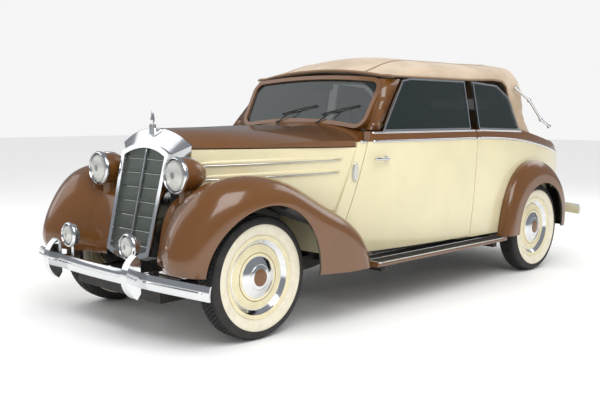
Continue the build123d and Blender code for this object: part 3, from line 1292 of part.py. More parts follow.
dome_radius = (CAP_RADIUS ** 2 + (CAP_TIP - DISC_POINTS[-1][0]) ** 2) / (2 * (CAP_TIP - DISC_POINTS[-1][0]))
dome_angle = atan2(CAP_RADIUS, dome_radius - (CAP_TIP - DISC_POINTS[-1][0])) / 2
dome_mid = (CAP_TIP - dome_radius + dome_radius * cos(dome_angle), dome_radius * sin(dome_angle))
for name, side, half_track, axle_y in WHEELS:
    axle = Axis((side * half_track, axle_y, AXLE_Z), (1, 0, 0))
    with BuildPart() as wheel:
        with BuildSketch(wheel_frame(side, half_track, axle_y)):
            with BuildLine():
                Polyline(*RIM_POINTS, *DISC_POINTS)
                ThreePointArc(DISC_POINTS[-1], dome_mid, (CAP_TIP, 0))
                Polyline((CAP_TIP, 0), (BORE_DEPTH - HUB_INNER_OFFSET, 0),
                         (BORE_DEPTH - HUB_INNER_OFFSET, AXLE_BORE_RADIUS), (-HUB_INNER_OFFSET, AXLE_BORE_RADIUS),
                         (-HUB_INNER_OFFSET, HUB_RADIUS), (26, HUB_RADIUS), *INNER_POINTS, RIM_POINTS[0])
            make_face()
        revolve(axis=axle)
    finish(wheel.part, "wheel_" + name)
    with BuildPart() as tyre:
        with BuildSketch(wheel_frame(side, half_track, axle_y)):
            with BuildLine():
                seat = RIM_POINTS[0][1] + SEAM
                Polyline((-TYRE_BEAD_HALF + 6, seat), (TYRE_BEAD_HALF - 6, seat), (TYRE_BEAD_HALF + 2, RIM_POINTS[1][1] + SEAM))
                ThreePointArc((TYRE_BEAD_HALF + 2, RIM_POINTS[1][1] + SEAM), (TYRE_HALF_WIDTH, TYRE_BULGE_RADIUS),
                              (TREAD_HALF + 4, TYRE_SHOULDER_RADIUS))
                ThreePointArc((TREAD_HALF + 4, TYRE_SHOULDER_RADIUS), (0, TYRE_RADIUS), (-TREAD_HALF - 4, TYRE_SHOULDER_RADIUS))
                ThreePointArc((-TREAD_HALF - 4, TYRE_SHOULDER_RADIUS), (-TYRE_HALF_WIDTH, TYRE_BULGE_RADIUS),
                              (-TYRE_BEAD_HALF - 2, RIM_POINTS[1][1] + SEAM))
                Line((-TYRE_BEAD_HALF - 2, RIM_POINTS[1][1] + SEAM), (-TYRE_BEAD_HALF + 6, seat))
            make_face()
        revolve(axis=axle)
    finish(tyre.part, "tyre_" + name)


def stub_axle(side, half_track, axle_y, start_x):
    """Stub in the wheel's bore and the brake's backplate, on one side."""
    with BuildPart() as stub:
        with BuildSketch(side_plane(side * start_x)):
            with Locations((axle_y, AXLE_Z)):
                Circle(STUB_RADIUS)
        extrude(amount=side * (half_track + STUB_TIP - start_x))
        with BuildSketch(side_plane(side * (half_track - BACKPLATE_OFFSET))):
            with Locations((axle_y, AXLE_Z)):
                Circle(BACKPLATE_RADIUS)
        extrude(amount=-side * BACKPLATE_THICKNESS)
    return stub.part


for side_name, side in (("left", 1), ("right", -1)):
    with BuildPart() as knuckle:
        add(stub_axle(side, FRONT_HALF_TRACK, FRONT_AXLE_Y, KINGPIN_X))
        with BuildSketch(Plane.XY.offset(ARM_LOW_Z)):
            with Locations((side * KINGPIN_X, FRONT_AXLE_Y)):
                Circle(KINGPIN_RADIUS)
        extrude(amount=AXLE_Z + KINGPIN_BOSS_HIGH - ARM_LOW_Z)
        with BuildSketch(Plane.XY.offset(AXLE_Z - KNUCKLE_HALF_HEIGHT)):
            with Locations((side * KINGPIN_X, FRONT_AXLE_Y)):
                Circle(KNUCKLE_RADIUS)
        extrude(amount=2 * KNUCKLE_HALF_HEIGHT)
        with BuildSketch(Plane.XY.offset(ARM_LOW_Z)):
            foot = Vector(side * KINGPIN_X, FRONT_AXLE_Y)
            end = foot + Vector(side * ARM_END[0], ARM_END[1])
            with BuildLine():
                Line((foot.X, foot.Y), (end.X, end.Y))
            make_hull(edges=[Edge.make_circle(ARM_WIDTH / 2, Plane(foot)), Edge.make_circle(ARM_WIDTH / 2, Plane(end))])
        extrude(amount=ARM_THICKNESS)
    finish(knuckle.part, "knuckle_" + side_name)

ROD_EYE_RADIUS = 17.0
rod_y = FRONT_AXLE_Y + ARM_END[1]
rod_half = KINGPIN_X + ARM_END[0]
with BuildPart() as track_rod:
    with BuildSketch(side_plane(-rod_half)):
        with Locations((rod_y, ROD_Z)):
            Circle(ROD_RADIUS)
    extrude(amount=2 * rod_half)
    with BuildSketch(Plane.XY.offset(ROD_Z - ROD_RADIUS)):
        with Locations((rod_half, rod_y), (-rod_half, rod_y)):
            Circle(ROD_EYE_RADIUS)
    extrude(amount=ARM_LOW_Z - SEAM - ROD_Z + ROD_RADIUS)
finish(track_rod.part, "track_rod")

BEAM_HALF_DEPTH = 36.0
BEAM_HEIGHT = 26.0
TOWER_X = 392.0
TOWER_WIDTH = 22.0
SPRING_X = 452.0
SPRING_RADIUS = 36.0
WISHBONE_INNER_HALF = 110.0
with BuildPart() as front_suspension:
    with Locations((0, FRONT_AXLE_Y, FRAME_TOP_Z + SEAM)):
        Box(2 * (TOWER_X + TOWER_WIDTH), 2 * BEAM_HALF_DEPTH, BEAM_HEIGHT, align=(Align.CENTER, Align.CENTER, Align.MIN))
    low_z = AXLE_Z - KINGPIN_BOSS_HIGH
    high_z = AXLE_Z + KINGPIN_BOSS_HIGH
    for side in (1, -1):
        with BuildSketch(Plane.XY.offset(low_z)):
            with Locations((side * (TOWER_X + TOWER_WIDTH / 2), FRONT_AXLE_Y)):
                Rectangle(TOWER_WIDTH, 2 * BEAM_HALF_DEPTH)
        extrude(amount=high_z - low_z)
        for arm_z in (low_z, AXLE_Z + KINGPIN_BOSS_LOW):
            with BuildSketch(Plane.XY.offset(arm_z)):
                with BuildLine():
                    Polyline((side * TOWER_X, FRONT_AXLE_Y - WISHBONE_INNER_HALF), (side * TOWER_X, FRONT_AXLE_Y + WISHBONE_INNER_HALF),
                             (side * KINGPIN_X, FRONT_AXLE_Y + KINGPIN_BOSS_RADIUS),
                             (side * KINGPIN_X, FRONT_AXLE_Y - KINGPIN_BOSS_RADIUS), close=True)
                make_face()
                with Locations((side * KINGPIN_X, FRONT_AXLE_Y)):
                    Circle(KINGPIN_BOSS_RADIUS)
            extrude(amount=KINGPIN_BOSS_HIGH - KINGPIN_BOSS_LOW)
        with BuildSketch(Plane.XY.offset(low_z)):
            with Locations((side * SPRING_X, FRONT_AXLE_Y)):
                Circle(SPRING_RADIUS)
        extrude(amount=high_z - low_z)
        with BuildSketch(Plane.XY.offset(low_z - OVERRUN)):
            with Locations((side * KINGPIN_X, FRONT_AXLE_Y)):
                Circle(KINGPIN_RADIUS + RUNNING_CLEARANCE)
        extrude(amount=high_z - low_z + 2 * OVERRUN, mode=Mode.SUBTRACT)
    add(frame.part, mode=Mode.SUBTRACT)
finish(front_suspension.part, "front_suspension")

DIFF_RADIUS = 105.0
AXLE_TUBE_RADIUS = 32.0
with BuildPart() as rear_axle:
    for side in (1, -1):
        add(stub_axle(side, REAR_HALF_TRACK, REAR_AXLE_Y, 0))
        with BuildSketch(side_plane(0)):
            with Locations((REAR_AXLE_Y, AXLE_Z)):
                Circle(AXLE_TUBE_RADIUS)
        extrude(amount=side * (REAR_HALF_TRACK - BACKPLATE_OFFSET - BACKPLATE_THICKNESS))
    with Locations((0, REAR_AXLE_Y, AXLE_Z)):
        Sphere(DIFF_RADIUS)
finish(rear_axle.part, "rear_axle")

# Tail lamps on the rear fenders and oval signal lamps on the cowl sides.
COWL_LAMP_Z = 862.0
COWL_LAMP_Y = at(0.278)
COWL_LAMP_HALF = (17.0, 52.0)
COWL_LAMP_PROUD = 14.0
with BuildPart() as signal_lamps:
    with BuildSketch(side_plane(wide(0.75))):
        with Locations((COWL_LAMP_Y, COWL_LAMP_Z)):
            Ellipse(COWL_LAMP_HALF[1], COWL_LAMP_HALF[0], rotation=90)
    extrude(amount=wide(0.15))
    with BuildPart(mode=Mode.PRIVATE) as lamp_limit:
        add(tub_block(-COWL_LAMP_PROUD))
        add(tub_block(-SEAM), mode=Mode.SUBTRACT)
    add(lamp_limit.part, mode=Mode.INTERSECT)
    mirror(about=Plane.YZ)
finish(signal_lamps.part, "signal_lamps")
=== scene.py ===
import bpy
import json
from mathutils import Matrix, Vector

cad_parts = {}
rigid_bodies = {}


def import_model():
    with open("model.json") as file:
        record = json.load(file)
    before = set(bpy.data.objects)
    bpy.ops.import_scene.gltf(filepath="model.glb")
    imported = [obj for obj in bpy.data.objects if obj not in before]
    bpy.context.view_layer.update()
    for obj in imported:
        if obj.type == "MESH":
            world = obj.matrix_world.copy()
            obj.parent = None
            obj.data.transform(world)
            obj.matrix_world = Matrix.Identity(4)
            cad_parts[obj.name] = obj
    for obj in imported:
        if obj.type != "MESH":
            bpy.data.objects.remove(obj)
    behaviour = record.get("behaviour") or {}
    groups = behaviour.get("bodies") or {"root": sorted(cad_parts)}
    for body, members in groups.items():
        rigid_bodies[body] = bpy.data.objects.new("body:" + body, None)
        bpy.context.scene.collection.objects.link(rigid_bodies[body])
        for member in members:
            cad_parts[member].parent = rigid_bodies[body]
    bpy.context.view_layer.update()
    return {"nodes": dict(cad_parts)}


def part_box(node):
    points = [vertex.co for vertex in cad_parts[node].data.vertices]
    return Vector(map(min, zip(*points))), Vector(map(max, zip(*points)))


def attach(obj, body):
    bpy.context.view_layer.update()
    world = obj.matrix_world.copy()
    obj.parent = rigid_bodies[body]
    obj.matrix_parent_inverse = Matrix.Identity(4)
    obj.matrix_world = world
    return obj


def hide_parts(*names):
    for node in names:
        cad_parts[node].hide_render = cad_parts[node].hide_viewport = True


bl_info = {
    "name": "Fifties cabriolet dressing",
    "version": (1, 0, 0),
    "blender": (4, 5, 0),
    "location": "View3D > Sidebar > Cabriolet",
    "description": "Dresses the packed cabriolet with its paint, trim, soft top, seats and tyres",
    "category": "Object",
}

import json
from math import atan2, cos, pi, radians, sin

import bmesh
import bpy
from bpy.props import FloatProperty, FloatVectorProperty, IntProperty, PointerProperty
from mathutils import Matrix, Vector
from mathutils.bvhtree import BVHTree

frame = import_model()
NODES = frame["nodes"]

FRONT_AXLE = -1.5875
REAR_AXLE = 1.2575
WHEELBASE = REAR_AXLE - FRONT_AXLE
AXLE_HEIGHT = 0.338
HALF_WIDTH = 0.842
# The belt line: its height, and how fast it falls with the square of the distance behind a place.
BELT_Z, BELT_FALL, BELT_TURN = 1.040, 0.072, 0.4235
# Radii about the axle, in metres: white band of the tyre, then the wheel's ring, line, cap and boss.
WHITE_BAND = (0.2235, 0.2870)
WHEEL_RING = (0.1765, 0.2035)
WHEEL_LINE = (0.1285, 0.1325)
CAP_RADIUS = 0.1135
CAP_GROOVE = (0.066, 0.070)
BOSS_RADIUS = 0.047
UNDERSEAL = (0.010, 0.009, 0.008)
MAT_RUBBER = (0.014, 0.014, 0.014)
# Wheel name, side of the car, distance of its middle plane from the car's middle, and axle place.
WHEELS = (
    ("front_left", 1, 0.6575, FRONT_AXLE),
    ("front_right", -1, 0.6575, FRONT_AXLE),
    ("rear_left", 1, 0.710, REAR_AXLE),
    ("rear_right", -1, 0.710, REAR_AXLE),
)


def along(share):
    """Y of a share of the wheelbase behind the front axle, in metres."""
    return FRONT_AXLE + share * WHEELBASE


# ---------------------------------------------------------------- shader maths

class Signal:
    """One socket of a material, with the usual operators."""

    def __init__(self, finish, socket):
        self.finish = finish
        self.socket = socket

    def _with(self, operation, first, second=None):
        values = {0: first} if second is None else {0: first, 1: second}
        return self.finish.make("ShaderNodeMath", {"operation": operation}, values)

    def __add__(self, other):
        return self._with("ADD", self, other)

    def __radd__(self, other):
        return self._with("ADD", other, self)

    def __sub__(self, other):
        return self._with("SUBTRACT", self, other)

    def __rsub__(self, other):
        return self._with("SUBTRACT", other, self)

    def __mul__(self, other):
        return self._with("MULTIPLY", self, other)

    def __rmul__(self, other):
        return self._with("MULTIPLY", other, self)

    def __truediv__(self, other):
        return self._with("DIVIDE", self, other)

    def __abs__(self):
        return self._with("ABSOLUTE", self)

    def __pow__(self, other):
        return self._with("POWER", self, other)

    def above(self, level, soft=0.0005):
        """1 where the value is over the level, with a soft step."""
        return self.finish.make("ShaderNodeMapRange", {"clamp": True, "interpolation_type": "SMOOTHSTEP"},
                                {"Value": self, "From Min": level - soft, "From Max": level + soft})

    def below(self, level, soft=0.0005):
        return 1 - self.above(level, soft)

    def larger(self, other):
        return self._with("MAXIMUM", self, other)


class Finish:
    """A material under construction."""

    def __init__(self, name):
        self.material = bpy.data.materials.new(name)
        self.material.use_nodes = True
        self.tree = self.material.node_tree
        self.tree.nodes.clear()
        self.output = self.tree.nodes.new("ShaderNodeOutputMaterial")
        place = self.make("ShaderNodeTexCoord", output="Object")
        self.place = place
        self.x, self.y, self.z = self.parts(place)

    def make(self, kind, settings=None, values=None, output=0):
        """A node of one type, its settings set first, then its sockets; gives one output."""
        node = self.tree.nodes.new(kind)
        for key, value in (settings or {}).items():
            setattr(node, key, value)
        for key, value in (values or {}).items():
            socket = node.inputs[key]
            if isinstance(value, Signal):
                self.tree.links.new(value.socket, socket)
            else:
                socket.default_value = value
        return Signal(self, node.outputs[output])

    def parts(self, vector):
        node = self.tree.nodes.new("ShaderNodeSeparateXYZ")
        self.tree.links.new(vector.socket, node.inputs[0])
        return [Signal(self, node.outputs[i]) for i in range(3)]

    def noise(self, scale, detail=3.0, roughness=0.5, stretch=None):
        place = self.place
        if stretch:
            place = self.make("ShaderNodeMapping", {}, {"Vector": place, "Scale": stretch})
        return self.make("ShaderNodeTexNoise", {}, {"Vector": place, "Scale": scale, "Detail": detail,
                                                    "Roughness": roughness}, "Fac")

    def blend(self, share, first, second):
        """Colour from first to second by a share."""
        node = self.tree.nodes.new("ShaderNodeMix")
        node.data_type = "RGBA"
        for socket, value in ((node.inputs[0], share), (node.inputs[6], first), (node.inputs[7], second)):
            if isinstance(value, Signal):
                self.tree.links.new(value.socket, socket)
            elif isinstance(value, (int, float)):
                socket.default_value = value
            else:
                socket.default_value = (*value[:3], 1.0)
        return Signal(self, node.outputs[2])

    def bump(self, height, distance, strength=1.0):
        return self.make("ShaderNodeBump", {}, {"Height": height, "Distance": distance, "Strength": strength},
                         "Normal")

    def close(self, **sockets):
        """The Principled shader with the given sockets, wired to the output."""
        node = self.tree.nodes.new("ShaderNodeBsdfPrincipled")
        for key, value in sockets.items():
            socket = node.inputs[key.replace("_", " ")]
            if isinstance(value, Signal):
                self.tree.links.new(value.socket, socket)
            elif key == "Base_Color":
                socket.default_value = (*value[:3], 1.0)
            else:
                socket.default_value = value
        self.tree.links.new(node.outputs[0], self.output.inputs[0])
        return self.material


def linear(rgb):
    """A display colour as the scene-linear colour that shaders take."""
    return tuple(c / 12.92 if c <= 0.04045 else ((c + 0.055) / 1.055) ** 2.4 for c in rgb)


FINISHES = {}


def paint_coat(finish, base, gloss=0.16, age=0.35, bright=None):
    """Old enamel: a clear coat over paint with slight mottling, fine ripple and dull patches.

    Where the mask called bright is 1 it is bare bright metal.
    """
    mottle = finish.noise(2.6, 4.0, 0.6)
    ripple = finish.noise(190.0, 2.0, 0.5)
    dull = finish.noise(7.0, 5.0, 0.65)
    shade = finish.blend(mottle.above(0.5, 0.25) * age, base, finish.blend(0.30, base, (0.0, 0.0, 0.0)))
    rough, coat, metal = gloss + dull * 0.16, 0.55 + dull * 0.3, 0.0
    if bright is not None:
        rough, coat, metal = rough - bright * 0.1, coat * (1 - bright), bright
    return finish.close(Base_Color=shade, Roughness=rough, Metallic=metal, Coat_Weight=coat,
                        Coat_Roughness=0.06, Normal=finish.bump(ripple, 0.00012, 0.5))


def two_tone(name, brown, cream):
    """Cream sides under brown: the line falls gently towards the tail, and the cowl's top is brown."""
    finish = Finish(name)
    behind = (finish.y - BELT_TURN).larger(0.0)
    line = BELT_Z - BELT_FALL * behind * behind
    over = (finish.z - line).above(0.0, 0.0006)
    top = finish.z.above(1.0585, 0.001) * finish.y.below(-0.560, 0.001)
    edge = abs(finish.x)
    strip = edge.below(0.0096, 0.0002) * finish.y.below(-0.620, 0.001) * finish.z.above(1.09, 0.001)
    colour = finish.blend(over.larger(top), cream, brown)
    colour = finish.blend(strip, colour, (0.80, 0.80, 0.80))
    return paint_coat(finish, colour, age=0.30, bright=strip)


def fender_enamel(name, brown):
    """Brown outside; dark underseal on the faces that look towards the wheel."""
    finish = Finish(name)
    normal = finish.make("ShaderNodeNewGeometry", output="Normal")
    nx, ny, nz = finish.parts(normal)
    rear = finish.y.above(-0.165, 0.001)
    run = finish.y - FRONT_AXLE - rear * WHEELBASE
    rise = finish.z - AXLE_HEIGHT
    towards = (run * ny + rise * nz).below(-0.06, 0.02)
    side = finish.x.above(0.0, 0.001) * 2 - 1
    walls = (nx * side).below(-0.85, 0.05) * nz.below(0.35, 0.05)
    return paint_coat(finish, finish.blend(towards.larger(walls), brown, UNDERSEAL))


def hood_side_enamel(name, cream):
    """Cream, with dark underseal where the side is the inner wall of the wheel arch."""
    finish = Finish(name)
    line = 0.770 - (finish.y + 1.30).larger(0.0) * 0.95 - (-1.90 - finish.y).larger(0.0) * 1.2
    return paint_coat(finish, finish.blend((finish.z - line).below(0.0, 0.001), cream, UNDERSEAL))


def board_rubber(name, brown, top):
    """Rubber tread on a brown board: brown edge below the mat."""
    finish = Finish(name)
    mat = finish.z.above(top - 0.0015, 0.0003)
    return paint_coat(finish, finish.blend(mat, brown, MAT_RUBBER), 0.3)


def chrome(name, tint=(0.80, 0.81, 0.82), rough=0.07):
    finish = Finish(name)
    haze = finish.noise(30.0, 4.0, 0.6)
    pits = finish.noise(900.0, 1.0, 0.5)
    colour = finish.blend(haze * 0.35, tint, tuple(c * 0.72 for c in tint))
    return finish.close(Base_Color=colour, Metallic=1.0, Roughness=rough + haze * 0.09,
                        Normal=finish.bump(pits, 0.00004, 0.3))


def dull_black(name, rgb=(0.012, 0.012, 0.012), rough=0.5):
    finish = Finish(name)
    dirt = finish.noise(22.0, 6.0, 0.65)
    return finish.close(Base_Color=finish.blend(dirt.above(0.55, 0.2) * 0.6, rgb, (0.07, 0.055, 0.04)),
                        Roughness=rough + dirt * 0.25, Normal=finish.bump(dirt, 0.0006, 0.4))


def axle_distance(finish):
    """Distance from the axle line of the nearer pair of wheels."""
    run = abs(finish.y + 0.165) - 1.4225
    rise = finish.z - AXLE_HEIGHT
    return (run * run + rise * rise) ** 0.5


def wheel_enamel(name, cream, brown):
    """Cream disc with a chrome ring and cap, told apart by the distance from the axle."""
    finish = Finish(name)
    radius = axle_distance(finish)
    cap = radius.below(CAP_RADIUS, 0.0004)
    boss = radius.below(BOSS_RADIUS, 0.0006)
    ring = radius.above(WHEEL_RING[0], 0.0004) * radius.below(WHEEL_RING[1], 0.0004)
    line = radius.above(WHEEL_LINE[0], 0.0004) * radius.below(WHEEL_LINE[1], 0.0004)
    shine = (cap + ring).larger(0.0) * (1 - boss)
    colour = finish.blend(shine, cream, (0.80, 0.81, 0.82))
    colour = finish.blend(boss.larger(line), colour, brown)
    dust = finish.noise(14.0, 5.0, 0.6)
    colour = finish.blend(dust.above(0.58, 0.2) * 0.18, colour, (0.18, 0.13, 0.09))
    groove = radius.above(CAP_GROOVE[0], 0.001) * radius.below(CAP_GROOVE[1], 0.001)
    return finish.close(Base_Color=colour, Metallic=shine, Roughness=0.22 - shine * 0.13 + dust * 0.06,
                        Coat_Weight=0.4 * (1 - shine), Normal=finish.bump(1 - groove, 0.002, 0.6))


def tyre_rubber(name):
    """Black rubber with a white band on both sides, with dust patches."""
    finish = Finish(name)
    radius = axle_distance(finish)
    white = radius.above(WHITE_BAND[0], 0.0006) * radius.below(WHITE_BAND[1], 0.0006)
    dust = finish.noise(18.0, 6.0, 0.65)
    grain = finish.noise(420.0, 2.0, 0.6)
    rubber = finish.blend(dust.above(0.5, 0.25) * 0.6, (0.011, 0.011, 0.012), (0.045, 0.040, 0.034))
    wall = finish.blend(dust.above(0.52, 0.3) * 0.5, (0.78, 0.73, 0.58), (0.52, 0.46, 0.35))
    return finish.close(Base_Color=finish.blend(white, rubber, wall),
                        Roughness=0.62 - white * 0.15 + dust * 0.15, Normal=finish.bump(grain, 0.0003, 0.5))


def canvas(name, rgb, dark):
    """Woven top cloth: fine warp and weft, blotched with stains, and darker towards its foot as painted
    shade.
    """
    finish = Finish(name)
    warp = finish.noise(60.0, 2.0, 0.5, (40.0, 1.2, 1.2))
    weft = finish.noise(60.0, 2.0, 0.5, (1.2, 40.0, 40.0))
    blotch = finish.noise(3.2, 5.0, 0.6)
    weave = (warp + weft) * 0.5
    # Below about 1.36 m the cloth darkens: painted shade at the foot of the top; the blotches are stains.
    low = finish.z.below(1.36, 0.16)
    stain_and_foot_shade = blotch.above(0.52, 0.22) * 0.45 + low * 0.35
    colour = finish.blend(stain_and_foot_shade, rgb, dark)
    colour = finish.blend((1 - weave) * 0.35, colour, tuple(c * 0.55 for c in rgb))
    return finish.close(Base_Color=colour, Roughness=0.86, Sheen_Weight=0.25, Sheen_Roughness=0.4,
                        Normal=finish.bump(weave + blotch * 0.6, 0.0012, 0.6))


def leather(name, rgb):
    finish = Finish(name)
    grain = finish.make("ShaderNodeTexVoronoi", {"feature": "DISTANCE_TO_EDGE"},
                        {"Vector": finish.place, "Scale": 260.0}, "Distance")
    worn = finish.noise(6.0, 5.0, 0.6)
    colour = finish.blend(worn.above(0.5, 0.25) * 0.5, rgb, tuple(c * 0.5 for c in rgb))
    return finish.close(Base_Color=colour, Roughness=0.42 + worn * 0.2,
                        Normal=finish.bump(grain, 0.0008, 0.6))


def shaded_window_glass(name, tint, alpha):
    # Near-black and 72% opaque: painted shade standing for the dim inside of the car behind the glass.
    finish = Finish(name)
    smear = finish.noise(5.0, 4.0, 0.6)
    return finish.close(Base_Color=tint, Roughness=0.02 + smear * 0.03, Alpha=alpha, IOR=1.5,
                        Coat_Weight=0.6, Coat_Roughness=0.02,
                        Normal=finish.bump(finish.noise(1.4, 2.0, 0.5), 0.003, 0.15))


def lamp_family(name):
    """Headlamp and fog lamp glass in one finish, told apart by height."""
    finish = Finish(name)
    high_lamp = finish.z.above(0.70, 0.01)
    across = abs(finish.x) - (0.295 + high_lamp * 0.078)
    rise = finish.z - (0.516 + high_lamp * 0.362)
    size = 0.053 + high_lamp * 0.029
    reach = ((across * across + rise * rise) ** 0.5) / size
    flutes = finish.make("ShaderNodeMath", {"operation": "SINE"}, {0: across * 820.0})
    bulb = reach.below(0.22, 0.08)
    rim = reach.above(0.84, 0.06)
    colour = finish.blend(flutes * 0.5 + 0.5, (0.82, 0.82, 0.76), (0.52, 0.53, 0.50))
    colour = finish.blend((bulb * 0.8 + rim * 0.4).larger(0.0), colour, (0.09, 0.09, 0.08))
    return finish.close(Base_Color=colour, Metallic=0.30, Roughness=0.16, Coat_Weight=1.0,
                        Coat_Roughness=0.02, Normal=finish.bump(flutes, 0.0016, 0.7))


def ribbed_glass(name, rgb, rough, ribs, depth, metal=0.0):
    """Coloured or clear lamp glass with level ribs."""
    finish = Finish(name)
    wave = finish.make("ShaderNodeMath", {"operation": "SINE"}, {0: finish.z * ribs})
    return finish.close(Base_Color=rgb, Roughness=rough, Metallic=metal, Coat_Weight=1.0,
                        Normal=finish.bump(wave, depth, 0.5))


def grille_mesh(name):
    """Diamond wire mesh: crossed ridges over a dark green-grey ground."""
    finish = Finish(name)
    rising = finish.make("ShaderNodeMath", {"operation": "SINE"}, {0: (finish.x + finish.z) * 520.0})
    falling = finish.make("ShaderNodeMath", {"operation": "SINE"}, {0: (finish.x - finish.z) * 520.0})
    wires = abs(rising).above(0.86, 0.1).larger(abs(falling).above(0.86, 0.1))
    return finish.close(Base_Color=finish.blend(wires, (0.018, 0.024, 0.020), (0.20, 0.23, 0.20)),
                        Metallic=wires * 0.8, Roughness=0.5 - wires * 0.15,
                        Normal=finish.bump(wires, 0.003, 0.8))


def walnut(name):
    finish = Finish(name)
    rings = finish.noise(9.0, 6.0, 0.6, (1.0, 9.0, 9.0))
    return finish.close(Base_Color=finish.blend(rings, (0.10, 0.040, 0.016), (0.30, 0.15, 0.065)),
                        Roughness=0.22, Coat_Weight=0.8, Normal=finish.bump(rings, 0.0004, 0.4))


def ivory(name):
    finish = Finish(name)
    age = finish.noise(20.0, 4.0, 0.6)
    return finish.close(Base_Color=finish.blend(age, (0.72, 0.64, 0.46), (0.52, 0.43, 0.27)), Roughness=0.28,
                        Coat_Weight=0.4)


def cast_metal(name, rgb):
    finish = Finish(name)
    grit = finish.noise(110.0, 5.0, 0.65)
    rust = finish.noise(12.0, 6.0, 0.65)
    return finish.close(Base_Color=finish.blend(rust.above(0.56, 0.15) * 0.6, rgb, (0.10, 0.05, 0.025)),
                        Roughness=0.55 + grit * 0.25, Normal=finish.bump(grit, 0.0009, 0.5))


# ---------------------------------------------------------------- shape helpers

def piece(name, mesh, body, finish, smooth=True):
    """Links a mesh, or a list of meshes as one, as a piece of one body with its finish and slot."""
    if isinstance(mesh, list):
        mesh = joined(name, mesh)
    obj = bpy.data.objects.new(name, mesh)
    bpy.context.scene.collection.objects.link(obj)
    mesh.materials.clear()
    mesh.materials.append(FINISHES[finish])
    if smooth:
        mesh.polygons.foreach_set("use_smooth", [True] * len(mesh.polygons))
        mesh.update()
    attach(obj, body)
    return obj


def tidy_mesh(name, verts, faces):
    """A mesh with merged doubles and its faces pointing outwards."""
    made = bmesh.new()
    points = [made.verts.new(v) for v in verts]
    for face in faces:
        corners = [points[i] for i in face]
        if len(set(corners)) > 2:
            try:
                made.faces.new(corners)
            except ValueError:
                pass
    bmesh.ops.remove_doubles(made, verts=made.verts, dist=0.00002)
    bmesh.ops.recalc_face_normals(made, faces=made.faces)
    mesh = bpy.data.meshes.new(name)
    made.to_mesh(mesh)
    made.free()
    return mesh


def joined(name, meshes):
    """One mesh out of several."""
    made = bmesh.new()
    for mesh in meshes:
        made.from_mesh(mesh)
        bpy.data.meshes.remove(mesh)
    mesh = bpy.data.meshes.new(name)
    made.to_mesh(mesh)
    made.free()
    return mesh


def smooth_path(points, steps=8):
    """Catmull-Rom points through the given ones."""
    path = [Vector(p) for p in points]
    ends = [2 * path[0] - path[1]] + path + [2 * path[-1] - path[-2]]
    out = []
    for i in range(len(path) - 1):
        a, b, c, d = ends[i:i + 4]
        for k in range(steps):
            t = k / steps
            out.append(0.5 * ((2 * b) + (c - a) * t + (2 * a - 5 * b + 4 * c - d) * t ** 2
                              + (3 * b - a - 3 * c + d) * t ** 3))
    return out + [path[-1]]


def ring_faces(rings, size):
    """Faces between rings of equal size, with a flat end on the first and the last."""
    faces = [(i * size + k, i * size + (k + 1) % size, (i + 1) * size + (k + 1) % size, (i + 1) * size + k)
             for i in range(rings - 1) for k in range(size)]
    return faces + [tuple(range(size)), tuple(range((rings - 1) * size, rings * size))]


def pipe(name, points, radius, sides=10, steps=6):
    """A round bar along a smooth path, its radius a number or one for each share of the length."""
    path = smooth_path(points, steps)
    rings = []
    normal = None
    for i, p in enumerate(path):
        run = (path[min(i + 1, len(path) - 1)] - path[max(i - 1, 0)]).normalized()
        if normal is None:
            normal = run.orthogonal().normalized()
        normal = (normal - run * normal.dot(run)).normalized()
        side = run.cross(normal)
        share = i / (len(path) - 1)
        r = radius(share) if callable(radius) else radius
        rings.append([p + (normal * cos(2 * pi * k / sides) + side * sin(2 * pi * k / sides)) * r
                      for k in range(sides)])
    verts = [v for ring in rings for v in ring]
    return tidy_mesh(name, verts, ring_faces(len(rings), sides))


def strip(name, path, half_width, height, sink=0.0015, crown=4, taper=0.0, across=None):
    """A half-round trim strip laid on a surface; path is (point, outward normal) pairs."""
    rings = []
    total = len(path) - 1
    for i, (p, n) in enumerate(path):
        run = (path[min(i + 1, total)][0] - path[max(i - 1, 0)][0]).normalized()
        side = n.cross(run).normalized() if across is None else across
        n = run.cross(side).normalized() if n.dot(run.cross(side)) > 0 else -run.cross(side).normalized()
        size = 1.0
        if taper:
            size = min(1.0, 0.06 + (min(i, total - i) / max(total, 1)) / taper)
        w, h = half_width * size, height * (0.4 + 0.6 * size)
        ring = [p - side * w - n * sink]
        for k in range(crown + 1):
            turn = pi * k / crown
            ring.append(p - side * w * cos(turn) + n * h * sin(turn) ** 0.7 * (1.0 if 0 < k < crown else 0.0))
        ring.append(p + side * w - n * sink)
        rings.append(ring)
    verts = [v for ring in rings for v in ring]
    return tidy_mesh(name, verts, ring_faces(len(rings), len(rings[0])))


def surfaces(*names):
    """Ray targets for CAD nodes or pieces."""
    graph = bpy.context.evaluated_depsgraph_get()
    return [BVHTree.FromObject(NODES[n] if isinstance(n, str) else n, graph) for n in names]


def cast(targets, origin, direction):
    """The nearest point and outward normal that a ray meets, or None."""
    best = None
    for target in targets:
        point, normal, _, distance = target.ray_cast(Vector(origin), Vector(direction))
        if point is not None and (best is None or distance < best[2]):
            if normal.dot(Vector(direction)) > 0:
                normal = -normal
            best = (point, normal, distance)
    return best[:2] if best else None


def side_path(targets, side, places):
    """Surface points under (y, z) places, seen from one side of the car."""
    found = [cast(targets, (side * 1.6, y, z), (-side, 0, 0)) for y, z in places]
    return [hit for hit in found if hit]


WALL_SEGMENTS = 96


def spun(name, profile, centre):
    """A ring turned about the axle line; profile is a closed loop of (outward offset, radius)."""
    verts, faces = [], []
    count = len(profile)
    for s in range(WALL_SEGMENTS):
        turn = 2 * pi * s / WALL_SEGMENTS
        for offset, radius in profile:
            verts.append((centre[0] + offset, centre[1] + radius * cos(turn), centre[2] + radius * sin(turn)))
    for s in range(WALL_SEGMENTS):
        here, ahead = s * count, ((s + 1) % WALL_SEGMENTS) * count
        for k in range(count):
            after = (k + 1) % count
            faces.append((here + k, here + after, ahead + after, ahead + k))
    return tidy_mesh(name, verts, faces)


# ---------------------------------------------------------------- geometry trees

